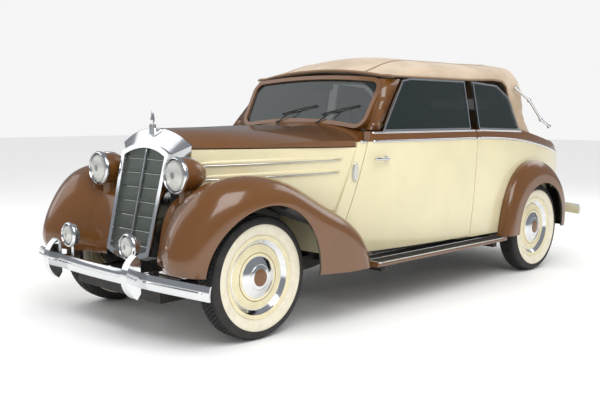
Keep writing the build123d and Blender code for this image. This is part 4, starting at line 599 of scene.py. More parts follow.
class Tree:
    """A Geometry Nodes tree with named inputs that ends in Realize Instances and Set Material."""

    def __init__(self, name):
        self.group = bpy.data.node_groups.new(name, "GeometryNodeTree")
        self.group.interface.new_socket("Geometry", in_out="INPUT", socket_type="NodeSocketGeometry")
        self.group.interface.new_socket("Geometry", in_out="OUTPUT", socket_type="NodeSocketGeometry")
        self.ids = {}
        self.source = self.group.nodes.new("NodeGroupInput")

    def field(self, name, kind, default):
        item = self.group.interface.new_socket(name, in_out="INPUT", socket_type=kind)
        item.default_value = default
        self.ids[name] = item.identifier
        return self.source.outputs[name]

    def add(self, kind, settings=None, inputs=None):
        node = self.group.nodes.new(kind)
        for key, value in (settings or {}).items():
            setattr(node, key, value)
        for key, value in (inputs or {}).items():
            if hasattr(value, "is_output"):
                self.group.links.new(value, node.inputs[key])
            else:
                node.inputs[key].default_value = value
        return node.outputs[0]

    def maths(self, operation, a, b):
        return self.add("ShaderNodeMath", {"operation": operation}, {0: a, 1: b})

    def end(self, geometry, material):
        real = self.add("GeometryNodeRealizeInstances", {}, {0: geometry})
        dressed = self.add("GeometryNodeSetMaterial", {}, {"Geometry": real, "Material": material})
        out = self.group.nodes.new("NodeGroupOutput")
        self.group.links.new(dressed, out.inputs[0])


def grown(name, tree, values):
    """The plain mesh that a tree gives for the given inputs."""
    blank = bpy.data.meshes.new(name + "_seed")
    carrier = bpy.data.objects.new(name + "_seed", blank)
    bpy.context.scene.collection.objects.link(carrier)
    modifier = carrier.modifiers.new("grow", "NODES")
    modifier.node_group = tree.group
    for key, value in values.items():
        modifier[tree.ids[key]] = value
    graph = bpy.context.evaluated_depsgraph_get()
    mesh = bpy.data.meshes.new_from_object(carrier.evaluated_get(graph))
    carrier.modifiers.remove(modifier)
    bpy.data.objects.remove(carrier)
    mesh.name = name
    return mesh


def tread_tree(material):
    """Blocks round a wheel: one ring of them at an offset along the axle."""
    tree = Tree("tread_ring")
    count = tree.field("Blocks", "NodeSocketInt", 72)
    radius = tree.field("Radius", "NodeSocketFloat", 0.3325)
    offset = tree.field("Offset", "NodeSocketFloat", 0.0)
    turn = tree.field("Turn", "NodeSocketFloat", 0.0)
    size = tree.field("Block", "NodeSocketVector", (0.018, 0.011, 0.024))
    line = tree.add("GeometryNodeMeshLine", {"mode": "OFFSET"}, {"Count": count})
    index = tree.add("GeometryNodeInputIndex")
    step = tree.maths("DIVIDE", 2 * pi, count)
    angle = tree.maths("ADD", tree.maths("MULTIPLY", index, step), turn)
    y = tree.maths("MULTIPLY", tree.maths("COSINE", angle, 0.0), radius)
    z = tree.maths("MULTIPLY", tree.maths("SINE", angle, 0.0), radius)
    spot = tree.add("ShaderNodeCombineXYZ", {}, {"X": offset, "Y": y, "Z": z})
    placed = tree.add("GeometryNodeSetPosition", {}, {"Geometry": line, "Position": spot})
    tilt = tree.add("ShaderNodeCombineXYZ", {}, {"X": angle})
    block = tree.add("GeometryNodeMeshCube", {}, {"Size": size})
    ring = tree.add("GeometryNodeInstanceOnPoints", {},
                    {"Points": placed, "Instance": block, "Rotation": tilt})
    tree.end(ring, material)
    return tree


def slat_tree(name, material):
    """A straight row of equal bars from a start place by a fixed step."""
    tree = Tree(name)
    count = tree.field("Bars", "NodeSocketInt", 8)
    start = tree.field("Start", "NodeSocketVector", (0.0, 0.0, 0.0))
    step = tree.field("Step", "NodeSocketVector", (0.0, 0.0, 0.05))
    size = tree.field("Bar", "NodeSocketVector", (0.3, 0.004, 0.006))
    lean = tree.field("Lean", "NodeSocketVector", (0.0, 0.0, 0.0))
    line = tree.add("GeometryNodeMeshLine", {"mode": "OFFSET"}, {"Count": count, "Start Location": start,
                                                                 "Offset": step})
    bar = tree.add("GeometryNodeMeshCube", {}, {"Size": size})
    row = tree.add("GeometryNodeInstanceOnPoints", {}, {"Points": line, "Instance": bar, "Rotation": lean})
    tree.end(row, material)
    return tree


# ---------------------------------------------------------------- settings

def tone(name, text, rgb):
    return FloatVectorProperty(name=name, description=text, subtype="COLOR", default=rgb)


def measure(name, text, default, low, high, unit="LENGTH"):
    return FloatProperty(name=name, description=text, default=default, min=low, max=high, unit=unit)


def tally(name, text, default, low, high):
    return IntProperty(name=name, description=text, default=default, min=low, max=high)


class PaintSettings(bpy.types.PropertyGroup):
    brown: tone("Brown", "Fenders, hood top and the band under the windows", linear((0.42, 0.262, 0.105)))
    cream: tone("Cream", "Doors, hood sides and wheel discs", linear((0.88, 0.84, 0.69)))
    cloth: tone("Cloth", "Soft top canvas", linear((0.82, 0.74, 0.64)))
    cloth_dark: tone("Cloth in folds", "Canvas where it is stained and shaded", linear((0.55, 0.44, 0.34)))
    hide: tone("Hide", "Seat leather", linear((0.60, 0.42, 0.27)))


class TrimSettings(bpy.types.PropertyGroup):
    belt_width: measure("Belt strip", "Half height of the belt strip", 0.0075, 0.002, 0.03)
    spear_height: measure("Spear", "Half height of a hood side spear", 0.014, 0.004, 0.04)
    grille_slats: tally("Grille slats", "Cross bars on the grille", 7, 3, 20)
    board_ribs: tally("Board ribs", "Rubber ribs on a running board", 11, 3, 30)


class TyreSettings(bpy.types.PropertyGroup):
    blocks: tally("Tread blocks", "Blocks in one ring of the tread", 84, 24, 160)
    tread_depth: measure("Tread depth", "Height of the blocks over the tyre's body", 0.0065, 0.002, 0.012)


class TopSettings(bpy.types.PropertyGroup):
    fold_depth: measure("Fold depth", "Height of the creases behind the side windows", 0.0045, 0.0, 0.015)
    bow_sag: measure("Sag", "How far the cloth sags between two bows", 0.0045, 0.0, 0.02)


class StageSettings(bpy.types.PropertyGroup):
    floor_colour: tone("Floor", "Colour of the floor and backdrop", (0.93, 0.93, 0.925))
    key_power: measure("Key light", "Power of the large overhead lamp", 190.0, 10.0, 2000.0, "POWER")


# ---------------------------------------------------------------- operators

class CAB_OT_finishes(bpy.types.Operator):
    """Make the finishes and put them on the CAD nodes"""
    bl_idname = "cab.finishes"
    bl_label = "Finishes"

    def execute(self, context):
        tones = context.scene.cab_paint
        brown, cream = tuple(tones.brown), tuple(tones.cream)
        cloth, folds = tuple(tones.cloth), tuple(tones.cloth_dark)
        FINISHES.update({
            "brown": paint_coat(Finish("brown_enamel"), brown),
            "cream": paint_coat(Finish("cream_enamel"), cream),
            "hood_side": hood_side_enamel("hood_side_enamel", cream),
            "fender": fender_enamel("fender_enamel", brown),
            "board": board_rubber("board_rubber", brown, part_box("running_boards")[1][2]),
            "two_tone": two_tone("two_tone_enamel", brown, cream),
            "chrome": chrome("chrome_plate"),
            "steel": chrome("worn_steel", (0.42, 0.41, 0.40), 0.3),
            "wheel": wheel_enamel("wheel_enamel", cream, brown),
            "tyre": tyre_rubber("tyre_rubber"),
            "black": dull_black("chassis_black"),
            "rubber": dull_black("rib_rubber", (0.02, 0.02, 0.02), 0.7),
            "canvas": canvas("top_canvas", cloth, folds),
            "binding": canvas("top_binding", folds, tuple(c * 0.6 for c in folds)),
            "leather": leather("seat_leather", tuple(tones.hide)),
            # Window glass: a near-black, mostly opaque sheet, painted shade over the inside of the car.
            "glass": shaded_window_glass("shaded_window_glass", (0.012, 0.020, 0.019), 0.72),
            "lamp": lamp_family("lamp_glass"),
            "signal": ribbed_glass("signal_glass", (0.75, 0.72, 0.66), 0.12, 1400.0, 0.0008, 0.6),
            "red": ribbed_glass("tail_glass", (0.42, 0.012, 0.010), 0.10, 900.0, 0.001),
            "mesh": grille_mesh("grille_wire"),
            "walnut": walnut("dash_walnut"),
            "ivory": ivory("wheel_ivory"),
            "iron": cast_metal("engine_iron", (0.10, 0.11, 0.11)),
        })
        dressed = {
            "two_tone": ("cowl", "door_left", "door_right", "rear_body", "boot_lid"),
            "hood_side": ("hood_sides",), "board": ("running_boards",),
            "fender": ("front_fenders", "rear_fenders", "nose_apron"),
            "brown": ("hood_left", "hood_right", "headlamp_shells", "windscreen_frame"),
            "chrome": ("radiator_shell", "lamp_rims", "front_bumper", "rear_bumper", "landau_bars",
                       "door_left_frame", "door_right_frame", "quarter_windows"),
            "glass": ("windscreen_glass", "rear_glass", "door_left_glass", "door_right_glass"),
            "wheel": ("wheel_front_left", "wheel_front_right", "wheel_rear_left", "wheel_rear_right"),
            "black": ("frame", "floor_pan", "fuel_tank", "front_suspension", "rear_axle",
                      "steering_column"),
            "steel": ("exhaust", "knuckle_left", "knuckle_right", "track_rod"),
            "lamp": ("lamp_lenses",), "signal": ("signal_lamps",), "mesh": ("grille",),
            "walnut": ("dashboard",), "ivory": ("steering_wheel",), "iron": ("engine",),
            "leather": ("seats",), "canvas": ("soft_top",),
            "tyre": ("tyre_front_left", "tyre_front_right", "tyre_rear_left", "tyre_rear_right"),
        }
        for finish, names in dressed.items():
            for name in names:
                mesh = NODES[name].data
                mesh.materials.clear()
                mesh.materials.append(FINISHES[finish])
        return {"FINISHED"}


# Side wall of a tyre, from the bead out to the shoulder: offset from its middle plane and radius.
WALL = ((0.0405, 0.2167), (0.0480, 0.2175), (0.0510, 0.2268), (0.0575, 0.2285), (0.0645, 0.2420),
        (0.0690, 0.2580), (0.0712, 0.2740), (0.0716, 0.2850), (0.0706, 0.2865), (0.0702, 0.2895),
        (0.0712, 0.2910), (0.0700, 0.3010), (0.0672, 0.3120), (0.0648, 0.3190), (0.0615, 0.3250))
# Rings of tread blocks: offset from the middle plane, turn in steps of the ring, and block width.
TREAD_RINGS = ((0.0, 0.0, 0.0130), (0.0175, 0.5, 0.0135), (-0.0175, 0.5, 0.0135),
               (0.0355, 0.0, 0.0135), (-0.0355, 0.0, 0.0135))


class CAB_OT_tyres(bpy.types.Operator):
    """Make the tyres with their side walls, white bands and tread blocks"""
    bl_idname = "cab.tyres"
    bl_label = "Tyres"

    def execute(self, context):
        settings = context.scene.cab_tyres
        crown = AXLE_HEIGHT - 0.0003
        base = crown - settings.tread_depth
        wall = list(WALL) + [(0.0560, base - 0.0028), (0.0380, base - 0.0008), (0.0, base)]
        profile = wall + [(-x, r) for x, r in reversed(wall[:-1])]
        tree = tread_tree(FINISHES["tyre"])
        block_height = settings.tread_depth + 0.006
        for name, side, track, axle_y in WHEELS:
            centre = (side * track, axle_y, AXLE_HEIGHT)
            parts = [spun("side_walls", profile, centre)]
            for offset, shift, width in TREAD_RINGS:
                step = 2 * pi / settings.blocks
                ring = grown("tread", tree, {
                    "Blocks": settings.blocks, "Radius": crown - abs(offset) * 0.03 - block_height / 2,
                    "Offset": offset, "Turn": shift * step,
                    "Block": (width, block_height, crown * step * 0.72)})
                ring.transform(Matrix.Translation(centre))
                parts.append(ring)
            tyre = piece("tyre_" + name + "_skin", parts, "wheel_" + name, "tyre", smooth=False)
            walls = WALL_SEGMENTS * len(profile)
            smooth = [len(p.vertices) == 4 and p.area > 0.0 and i < walls
                      for i, p in enumerate(tyre.data.polygons)]
            tyre.data.polygons.foreach_set("use_smooth", smooth)
            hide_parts("tyre_" + name)
        return {"FINISHED"}


# The soft top's sections as the CAD has them: share of the wheelbase or angle up from the front,
# foot x share, foot height, shoulder x share, shoulder height and crown height over the fan's line.
FAN_Y = along(0.8785)
FAN_Z = 1.0
ROOF_ROWS = (
    (0.4295, 0.738, 0.446, 0.640, 0.455, 0.500),
    (0.5400, 0.764, 0.446, 0.660, 0.530, 0.598),
    (0.7210, 0.772, 0.446, 0.664, 0.545, 0.606),
    (0.8785, 0.772, 0.446, 0.664, 0.545, 0.606),
)
BACK_ROWS = (
    (108, 0.775, 0.335, 0.668, 0.582, 0.638),
    (124, 0.782, 0.275, 0.655, 0.603, 0.676),
    (136, 0.792, 0.245, 0.640, 0.560, 0.628),
    (148, 0.802, 0.228, 0.640, 0.478, 0.534),
    (162, 0.812, 0.216, 0.660, 0.478, 0.524),
    (180, 0.822, 0.212, 0.680, 0.612, 0.662),
)
DECK_LINE = ((0.40, 1.1005), (0.745, 1.1005), (0.945, 1.0845), (1.111, 1.0020), (1.25, 0.94))


def deck_height(y):
    """Height of the body's top line at a place along the car."""
    share = (y - FRONT_AXLE) / WHEELBASE
    for (a, low), (b, high) in zip(DECK_LINE[:-1], DECK_LINE[1:]):
        if share <= b:
            return low + (high - low) * max(0.0, (share - a) / (b - a))
    return DECK_LINE[-1][1]


def arc(start, middle, end, steps):
    """Points on a soft curve through three places."""
    a, m, b = Vector(start), Vector(middle), Vector(end)
    pull = 2 * m - (a + b) / 2
    shares = [k / steps for k in range(steps)]
    return [(1 - t) ** 2 * a + 2 * t * (1 - t) * pull + t * t * b for t in shares]


def top_row(foot_x, foot_r, brow_x, brow_r, crown_r):
    """Half of a section, foot to crown, as (x, height)."""
    foot, brow, crown = Vector((foot_x, foot_r)), Vector((brow_x, brow_r)), Vector((0.0, crown_r))
    cheek = Vector((brow_x + 0.80 * (foot_x - brow_x), foot_r + 0.62 * (brow_r - foot_r)))
    over = Vector((brow_x * 0.52, brow_r + (crown_r - brow_r) * 0.74))
    corner = arc(foot, cheek, brow, 10)
    return corner + arc(brow, over, crown, 14) + [crown]


CLOTH_THICKNESS = 0.018
CLOTH_INSET = 0.0035
CROWN_HEIGHT = 1.6085
SEAM_X = 0.385
# The rear window: half the distance between its end centres, its middle height and its corner radius.
WINDOW_REACH, WINDOW_Z, WINDOW_CORNER = 0.252, 1.285, 0.043
WINDOW_STEPS = 24


def window_place(share, corner):
    """(x, z) on an oblong with round ends, at a share of a turn."""
    turn = 2 * pi * share
    shift = WINDOW_REACH if cos(turn) > 0 else -WINDOW_REACH
    return shift + corner * cos(turn), WINDOW_Z + corner * sin(turn)


class CAB_OT_soft_top(bpy.types.Operator):
    """Make the canvas top with its sag and folds, piping, seams and rear window"""
    bl_idname = "cab.soft_top"
    bl_label = "Soft top"

    def execute(self, context):
        settings = context.scene.cab_top
        rows = []
        for share, fx, fr, bx, br, cr in ROOF_ROWS:
            half = top_row(fx * HALF_WIDTH, fr, bx * HALF_WIDTH, br, cr)
            rows.append([Vector((x, along(share), FAN_Z + r)) for x, r in half])
        for angle, fx, fr, bx, br, cr in BACK_ROWS:
            half = top_row(fx * HALF_WIDTH, fr, bx * HALF_WIDTH, br, cr)
            turn = radians(angle)
            rows.append([Vector((x, FAN_Y - r * cos(turn), FAN_Z + r * sin(turn))) for x, r in half])
        count = len(rows[0])
        columns = [smooth_path([row[k] for row in rows], 9) for k in range(count)]
        length = len(columns[0])
        half = []
        for i in range(length):
            line = []
            for k in range(count):
                p = columns[k][i].copy()
                p.z = min(p.z, CROWN_HEIGHT)
                bow = sin(pi * (p.y + 0.36) / 0.415) ** 2 if p.y < 1.0 else 0.0
                over = min(1.0, max(0.0, (k - 8) / 8))
                p.z -= settings.bow_sag * bow * over
                back = min(1.0, max(0.0, (p.y - 0.80) / 0.25)) * min(1.0, max(0.0, (1.52 - p.z) / 0.08))
                crease = sin(p.z * 62 + p.y * 34) * 0.6 + sin(p.z * 31 - p.y * 55 + 1.3) * 0.4
                out = Vector((p.x, (p.y - 0.9) * 0.8, 0.25)).normalized()
                p += out * (settings.fold_depth * back * crease - CLOTH_INSET)
                p.z = max(p.z, deck_height(p.y) + 0.0015)
                line.append(p)
            half.append(line)
        verts, faces = [], []
        wide = 2 * count - 1
        for line in half:
            verts += line + [Vector((-p.x, p.y, p.z)) for p in reversed(line[:-1])]
        for i in range(length - 1):
            for k in range(wide - 1):
                here = i * wide + k
                faces.append((here, here + 1, here + wide + 1, here + wide))
        sheet = tidy_mesh("canvas_top", verts, faces)
        top = bpy.data.objects.new("canvas_top", sheet)
        context.scene.collection.objects.link(top)
        crown = max(sheet.polygons, key=lambda face: face.center.z)
        if crown.normal.z < 0:
            sheet.flip_normals()
        hull = top.modifiers.new("thickness", "SOLIDIFY")
        hull.thickness = CLOTH_THICKNESS
        hull.offset = -1.0
        opening = self.window_block(context)
        cut = top.modifiers.new("window", "BOOLEAN")
        cut.object = opening
        cut.solver = "EXACT"
        graph = context.evaluated_depsgraph_get()
        mesh = bpy.data.meshes.new_from_object(top.evaluated_get(graph))
        bpy.data.objects.remove(top)
        bpy.data.objects.remove(opening)
        top = piece("canvas_top", mesh, "chassis", "canvas")
        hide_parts("soft_top")
        self.bindings(half, top)
        return {"FINISHED"}

    def window_block(self, context):
        """The oblong that opens the rear window."""
        ends = [window_place(k / WINDOW_STEPS, WINDOW_CORNER) for k in range(WINDOW_STEPS)]
        verts = [(x, y, z) for y in (1.15, 1.75) for x, z in ends]
        mesh = tidy_mesh("window_block", verts, ring_faces(2, WINDOW_STEPS))
        block = bpy.data.objects.new("window_block", mesh)
        context.scene.collection.objects.link(block)
        block.hide_render = True
        return block

    def bindings(self, half, top):
        """Piping round the side openings, seams over the roof, the front roll and the window's frame."""
        edge = [line[0] for line in half[::3]]
        parts = []
        for side in (1, -1):
            parts.append(pipe("edge", [(side * (p.x - 0.002), p.y, p.z) for p in edge], 0.0065, 8, 1))
        front = [Vector((p.x, p.y - 0.004, p.z - 0.004)) for p in half[0]]
        front = front + [Vector((-p.x, p.y, p.z)) for p in reversed(front[:-1])]
        parts.append(pipe("header", front, 0.010, 8, 1))
        piece("top_piping", parts, "chassis", "binding")
        cloth = surfaces(top)
        seams = []
        for x in (-SEAM_X, SEAM_X):
            path = [cast(cloth, (x, -0.35 + k * 0.035, 1.9), (0, 0, -1)) for k in range(46)]
            seams.append(strip("seam", [hit for hit in path if hit], 0.009, 0.0025, 0.001))
        path = [cast(cloth, (-0.60 + k * 0.04, 2.2, 1.455), (0, -1, 0)) for k in range(31)]
        seams.append(strip("seam", [hit for hit in path if hit], 0.008, 0.0025, 0.001))
        piece("top_seams", seams, "chassis", "binding")
        frame_path = []
        for k in range(49):
            x, z = window_place(k / 48, WINDOW_CORNER + 0.009)
            hit = cast(cloth, (x, 2.2, z), (0, -1, 0))
            if hit:
                frame_path.append(hit)
        rim = strip("rear_window_frame", frame_path, 0.007, 0.005, 0.002)
        piece("rear_window_frame", rim, "chassis", "binding")


def pad_mesh(name, size, channels, roundness=5.0, depth=0.010, along_z=False):
    """A crowned closed pad about the origin, with sewn channels across its main face."""
    made = bmesh.new()
    bmesh.ops.create_cube(made, size=2.0)
    bmesh.ops.subdivide_edges(made, edges=made.edges[:], cuts=31, use_grid_fill=True)
    for v in made.verts:
        x, y, z = v.co
        norm = (abs(x) ** roundness + abs(y) ** roundness + abs(z) ** roundness) ** (1 / roundness)
        x, y, z = x / norm, y / norm, z / norm
        groove = 1 - abs(sin(pi * channels * (x + 1) / 2)) ** 0.35
        edge = min(1.0, (1 - abs(x)) * 6)
        if along_z:
            face = max(0.0, -y) ** 2 * min(1.0, (1 - abs(z)) * 5)
            v.co = (x * size[0], y * size[1] + depth * groove * face * edge, z * size[2])
        else:
            face = max(0.0, z) ** 2 * min(1.0, (1 - abs(y)) * 5)
            v.co = (x * size[0], y * size[1], z * size[2] - depth * groove * face * edge)
    mesh = bpy.data.meshes.new(name)
    made.to_mesh(mesh)
    made.free()
    return mesh


# name, middle x, width, front y, base z, cushion top, depth, back height, back thickness, pleats
SEATS = (
    ("seat_left", 0.30, 0.520, along(0.515), 0.367, 0.637, 0.480, 0.520, 0.120, 7),
    ("seat_right", -0.30, 0.520, along(0.515), 0.367, 0.637, 0.480, 0.520, 0.120, 7),
    ("seat_rear", 0.0, 1.130, along(0.815), 0.501, 0.671, 0.400, 0.450, 0.100, 15),
)
SEAT_LEAN = radians(14)


class CAB_OT_seats(bpy.types.Operator):
    """Make the pleated leather seats"""
    bl_idname = "cab.seats"
    bl_label = "Seats"

    def execute(self, context):
        for name, x, width, front, floor, top, depth, back, thick, pleats in SEATS:
            rise = min(0.145, top - floor - 0.03)
            cushion = pad_mesh(name + "_cushion", (width / 2 - 0.004, depth / 2, rise / 2), pleats)
            cushion.transform(Matrix.Translation((x, front + depth / 2 + 0.006, top - rise / 2 - 0.006))
                              @ Matrix.Rotation(-0.06, 4, "X"))
            size = (width / 2 - 0.006, thick / 2 - 0.008, back / 2)
            rest = pad_mesh(name + "_rest", size, pleats, along_z=True)
            place = (x, front + depth + thick / 2 + sin(SEAT_LEAN) * back / 2, top + back / 2 - 0.012)
            rest.transform(Matrix.Translation(place) @ Matrix.Rotation(-SEAT_LEAN, 4, "X"))
            for part, mesh in (("cushion", cushion), ("rest", rest)):
                pad = piece(f"{name}_{part}", mesh, "chassis", "leather")
                if name == "seat_left" and part == "cushion":
                    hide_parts("seats")
            size = (width / 2 - 0.05, depth / 2 - 0.06, (top - rise - floor) / 2)
            base = pad_mesh(name + "_base", size, 1, 14.0, 0.0)
            base.transform(Matrix.Translation((x, front + depth / 2 + 0.02, (floor + top - rise) / 2)))
            piece(name + "_base", base, "chassis", "black")
        return {"FINISHED"}


# The pillar beside the windscreen: its front edge (x, y, z), its back edge (x, y) at the same heights.
PILLAR_FRONT = ((0.566, -0.545, 1.108), (0.574, -0.522, 1.160), (0.583, -0.484, 1.260),
                (0.581, -0.446, 1.360), (0.560, -0.418, 1.428))
PILLAR_BACK = ((0.690, -0.570), (0.681, -0.526), (0.662, -0.441), (0.643, -0.356), (0.631, -0.298))
# The belt strip's parts, with the places where each starts and ends.
BELT_RUNS = (("door", along(0.3225) + 0.012, along(0.7125) - 0.004),
             ("quarter", along(0.718), along(1.236)), ("cowl", along(0.2905), along(0.3075)))
# The two spears on a hood side: front (y, z) and rear (y, z).
SPEARS = (((-1.7150, 0.9300), (-0.8820, 0.9500)), ((-1.7000, 0.8530), (-0.8960, 0.8760)))
SILL_Z = 1.0925
HANDLE_Z = 0.935


def belt_line(y):
    """Height of the belt strip, level over the door and falling to the tail."""
    return BELT_Z - BELT_FALL * max(0.0, y - BELT_TURN) ** 2


class CAB_OT_side_trim(bpy.types.Operator):
    """Make the belt and sill strips, the spears on the hood sides and the door handles"""
    bl_idname = "cab.side_trim"
    bl_label = "Side trim"

    def execute(self, context):
        trim = context.scene.cab_trim
        for side in (1, -1):
            mark = "left" if side > 0 else "right"
            self.pillar(side, mark)
            for label, start, end in BELT_RUNS:
                body = "door_" + mark if label == "door" else "chassis"
                node = {"door": "door_" + mark, "quarter": "rear_body", "cowl": "cowl"}[label]
                count = max(4, int((end - start) / 0.03))
                stations = [start + (end - start) * k / count for k in range(count + 1)]
                places = [(y, belt_line(y)) for y in stations]
                path = side_path(surfaces(node), side, places)
                if len(path) > 2:
                    mesh = strip("belt", path, trim.belt_width, 0.006, 0.003, 5)
                    piece(f"belt_{label}_{mark}", mesh, body, "chrome")
                if label != "cowl":
                    fall = along(0.745)
                    sill = [(y, SILL_Z if y < fall else SILL_Z - 0.0165 * (y - fall) / 0.569)
                            for y in stations if y < along(0.95)]
                    path = side_path(surfaces(node), side, sill)
                    if len(path) > 2:
                        mesh = strip("sill", path, 0.0055, 0.004, 0.003, 4)
                        piece(f"sill_{label}_{mark}", mesh, body, "chrome")
            self.spears(side, mark, trim)
            self.handle(side, mark)
        return {"FINISHED"}

    def pillar(self, side, mark):
        """The brown pillar that fills the corner between the windscreen frame and the door's window."""
        front, back = [], []
        for (fx, fy, z), (bx, by) in zip(PILLAR_FRONT, PILLAR_BACK):
            front.append(Vector((side * fx, fy, z)))
            back.append(Vector((side * bx, by, z)))
        count = len(front)
        deep = Vector((-side * 0.020, 0.004, 0))
        rings = [front, back, [p + deep for p in back], [p + deep for p in front]]
        verts = [rings[j][i] for i in range(count) for j in range(4)]
        mesh = tidy_mesh("pillar_" + mark, verts, ring_faces(count, 4))
        piece("pillar_" + mark, mesh, "chassis", "brown")

    def spears(self, side, mark, trim):
        """Two long pointed spears with a bright lower edge on the hood side."""
        target = surfaces("hood_sides")
        cream, bright = [], []
        for (y0, z0), (y1, z1) in SPEARS:
            places = [(y0 + (y1 - y0) * k / 40, z0 + (z1 - z0) * k / 40) for k in range(41)]
            path = side_path(target, side, places)
            if len(path) < 6:
                continue
            cream.append(strip("spear", path, trim.spear_height, 0.010, 0.004, 6, 0.10))
            low = [(p + Vector((0, 0, -trim.spear_height * 0.9)) + n * 0.001, n) for p, n in path]
            bright.append(strip("edge", low, 0.0045, 0.009, 0.006, 5, 0.08))
        if cream:
            piece("spears_" + mark, cream, "chassis", "cream")
            piece("spear_edges_" + mark, bright, "chassis", "chrome")

    def handle(self, side, mark):
        """A lever handle near the door's front edge, its boss on an oval plate."""
        target = surfaces("door_" + mark)
        path = side_path(target, side, [(-0.672 + 0.016 * k, HANDLE_Z) for k in range(10)])
        behind = side_path(target, side, [(-0.570 + 0.006 * k, HANDLE_Z) for k in range(9)])
        plate = strip("plate", behind, 0.016, 0.006, 0.002, 6, 0.35)
        out = Vector((side, 0, 0))
        lever = [path[k][0] + out * (0.034 if k < 8 else 0.030 - 0.022 * (k - 8)) for k in range(len(path))]
        bar = pipe("lever", lever, lambda t: 0.0065 + 0.0035 * sin(pi * min(1.0, t * 1.2 + 0.15)), 12, 4)
        stalk = pipe("stalk", [path[7][0] - out * 0.002, path[7][0] + out * 0.036], 0.0085, 12, 1)
        piece("handle_" + mark, [plate, bar, stalk], "door_" + mark, "chrome")


# How far the grille runs back, and how far up, from its foot to its head.
GRILLE_SLOPE = (0.1423, 0.610)
GRILLE_FOOT, GRILLE_HEAD = 0.470, 0.945
GRILLE_WIRES = 16
# Ribs stand clear of the overriders, and end short of the blade: half span at the front and rear.
BUMPER_SPANS = (0.833, 0.796)
OVERRIDER_X, OVERRIDER_ROOM = 0.393, 0.035
RIB_RUNS = ((-0.9, -0.40), (-0.385, 0.385), (0.40, 0.9))
# The foot of the windscreen and its lean, the wipers' pivots, and the mirror's place.
GLASS_FOOT = (0.0, -0.5648, 1.123)
GLASS_LEAN = radians(29)
WIPERS = (("left", 0.165), ("right", -0.205))
WIPER_HALF = 0.150
MIRROR_PLACE = (0.0, -0.335, 1.385)


class CAB_OT_front_trim(bpy.types.Operator):
    """Make the grille bars and wires, the bumper ribs, the wipers and the mirror"""
    bl_idname = "cab.front_trim"
    bl_label = "Front trim"

    def execute(self, context):
        trim = context.scene.cab_trim
        slats = slat_tree("grille_slats", FINISHES["chrome"])
        target = surfaces("grille")
        bars = []
        for k in range(trim.grille_slats):
            z = GRILLE_FOOT + (GRILLE_HEAD - GRILLE_FOOT) * k / (trim.grille_slats - 1)
            path = [cast(target, (-0.188 + 0.0235 * i, -2.4, z), (0, 1, 0)) for i in range(17)]
            path = [(hit[0] + Vector((0, 0.002, 0)), Vector((0, -1, 0))) for hit in path if hit]
            if len(path) > 2:
                bars.append(strip("slat", path, 0.0016, 0.004, 0.001, 4, across=Vector((0, 0, 1))))
        post = [cast(target, (0, -2.4, 0.425 + 0.02 * k), (0, 1, 0)) for k in range(30)]
        post = [(hit[0], Vector((0, -1, 0))) for hit in post if hit]
        bars.append(strip("post", post, 0.0045, 0.009, 0.002, 6, across=Vector((1, 0, 0))))
        piece("grille_bars", bars, "chassis", "chrome")
        fine = []
        low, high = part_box("grille")
        lean = -atan2(*GRILLE_SLOPE)
        for x_side in (1, -1):
            fine.append(grown("wires", slats, {
                "Bars": GRILLE_WIRES, "Start": (x_side * 0.016, (low.y + high.y) / 2 + 0.001, 0.715),
                "Step": (x_side * 0.0110, 0.0, 0.0), "Bar": (0.0022, 0.003, 0.560),
                "Lean": (lean, 0.0, 0.0)}))
        piece("grille_wires", fine, "chassis", "steel", smooth=False)
        ribs = []
        for node, way in (("front_bumper", 1), ("rear_bumper", -1)):
            blade = surfaces(node)
            path = []
            for k in range(61):
                x = -0.80 + 1.60 * k / 60
                span = BUMPER_SPANS[0] if way > 0 else BUMPER_SPANS[1]
                z = (0.334 + 0.032 * (1 - (x / span) ** 2)) if way > 0 else 0.420
                hit = cast(blade, (x, -3.0 * way, z), (0, way, 0))
                if hit and abs(abs(x) - OVERRIDER_X) > OVERRIDER_ROOM and abs(x) < span - 0.01:
                    path.append(hit)
            for lo, hi in RIB_RUNS:
                part = [hit for hit in path if lo < hit[0].x < hi]
                if len(part) > 2:
                    ribs.append(strip("rib", part, 0.007, 0.006, 0.002, 5, across=Vector((0, 0, 1))))
        piece("bumper_ribs", ribs, "chassis", "chrome")
        self.wipers()
        return {"FINISHED"}

    def wipers(self):
        """Two wiper arms with their blades over the glass, and the mirror under the header."""
        foot = Vector(GLASS_FOOT)
        rise = Vector((0.0, sin(GLASS_LEAN), cos(GLASS_LEAN)))
        out = Vector((0.0, -cos(GLASS_LEAN), sin(GLASS_LEAN)))
        for mark, pivot_x in WIPERS:
            pivot = foot + Vector((pivot_x, 0, 0)) + rise * 0.012 + out * 0.022
            tip = foot + Vector((pivot_x + 0.155, 0, 0)) + rise * 0.118 + out * 0.014
            bend = pivot.lerp(tip, 0.5) + out * 0.012
            arm = pipe("arm", [pivot, bend, tip], lambda t: 0.0042 - 0.0014 * t, 8, 5)
            boss = pipe("boss", [pivot - out * 0.018, pivot + out * 0.008], 0.009, 12, 1)
            low = tip - Vector((WIPER_HALF, 0, 0)) - rise * 0.034 - out * 0.004
            high = tip + Vector((WIPER_HALF, 0, 0)) + rise * 0.034 - out * 0.004
            blade = pipe("blade", [low, tip, high], 0.0042, 6, 3)
            piece("wiper_" + mark, [arm, boss, blade], "chassis", "rubber")
        mirror = pad_mesh("mirror", (0.085, 0.009, 0.024), 1, 6.0, 0.0)
        mirror.transform(Matrix.Translation(MIRROR_PLACE))
        stem = pipe("stem", [(0, -0.335, 1.395), (0, -0.350, 1.430), (0, -0.372, 1.452)], 0.005, 8, 4)
        piece("inner_mirror", [mirror, stem], "chassis", "black")


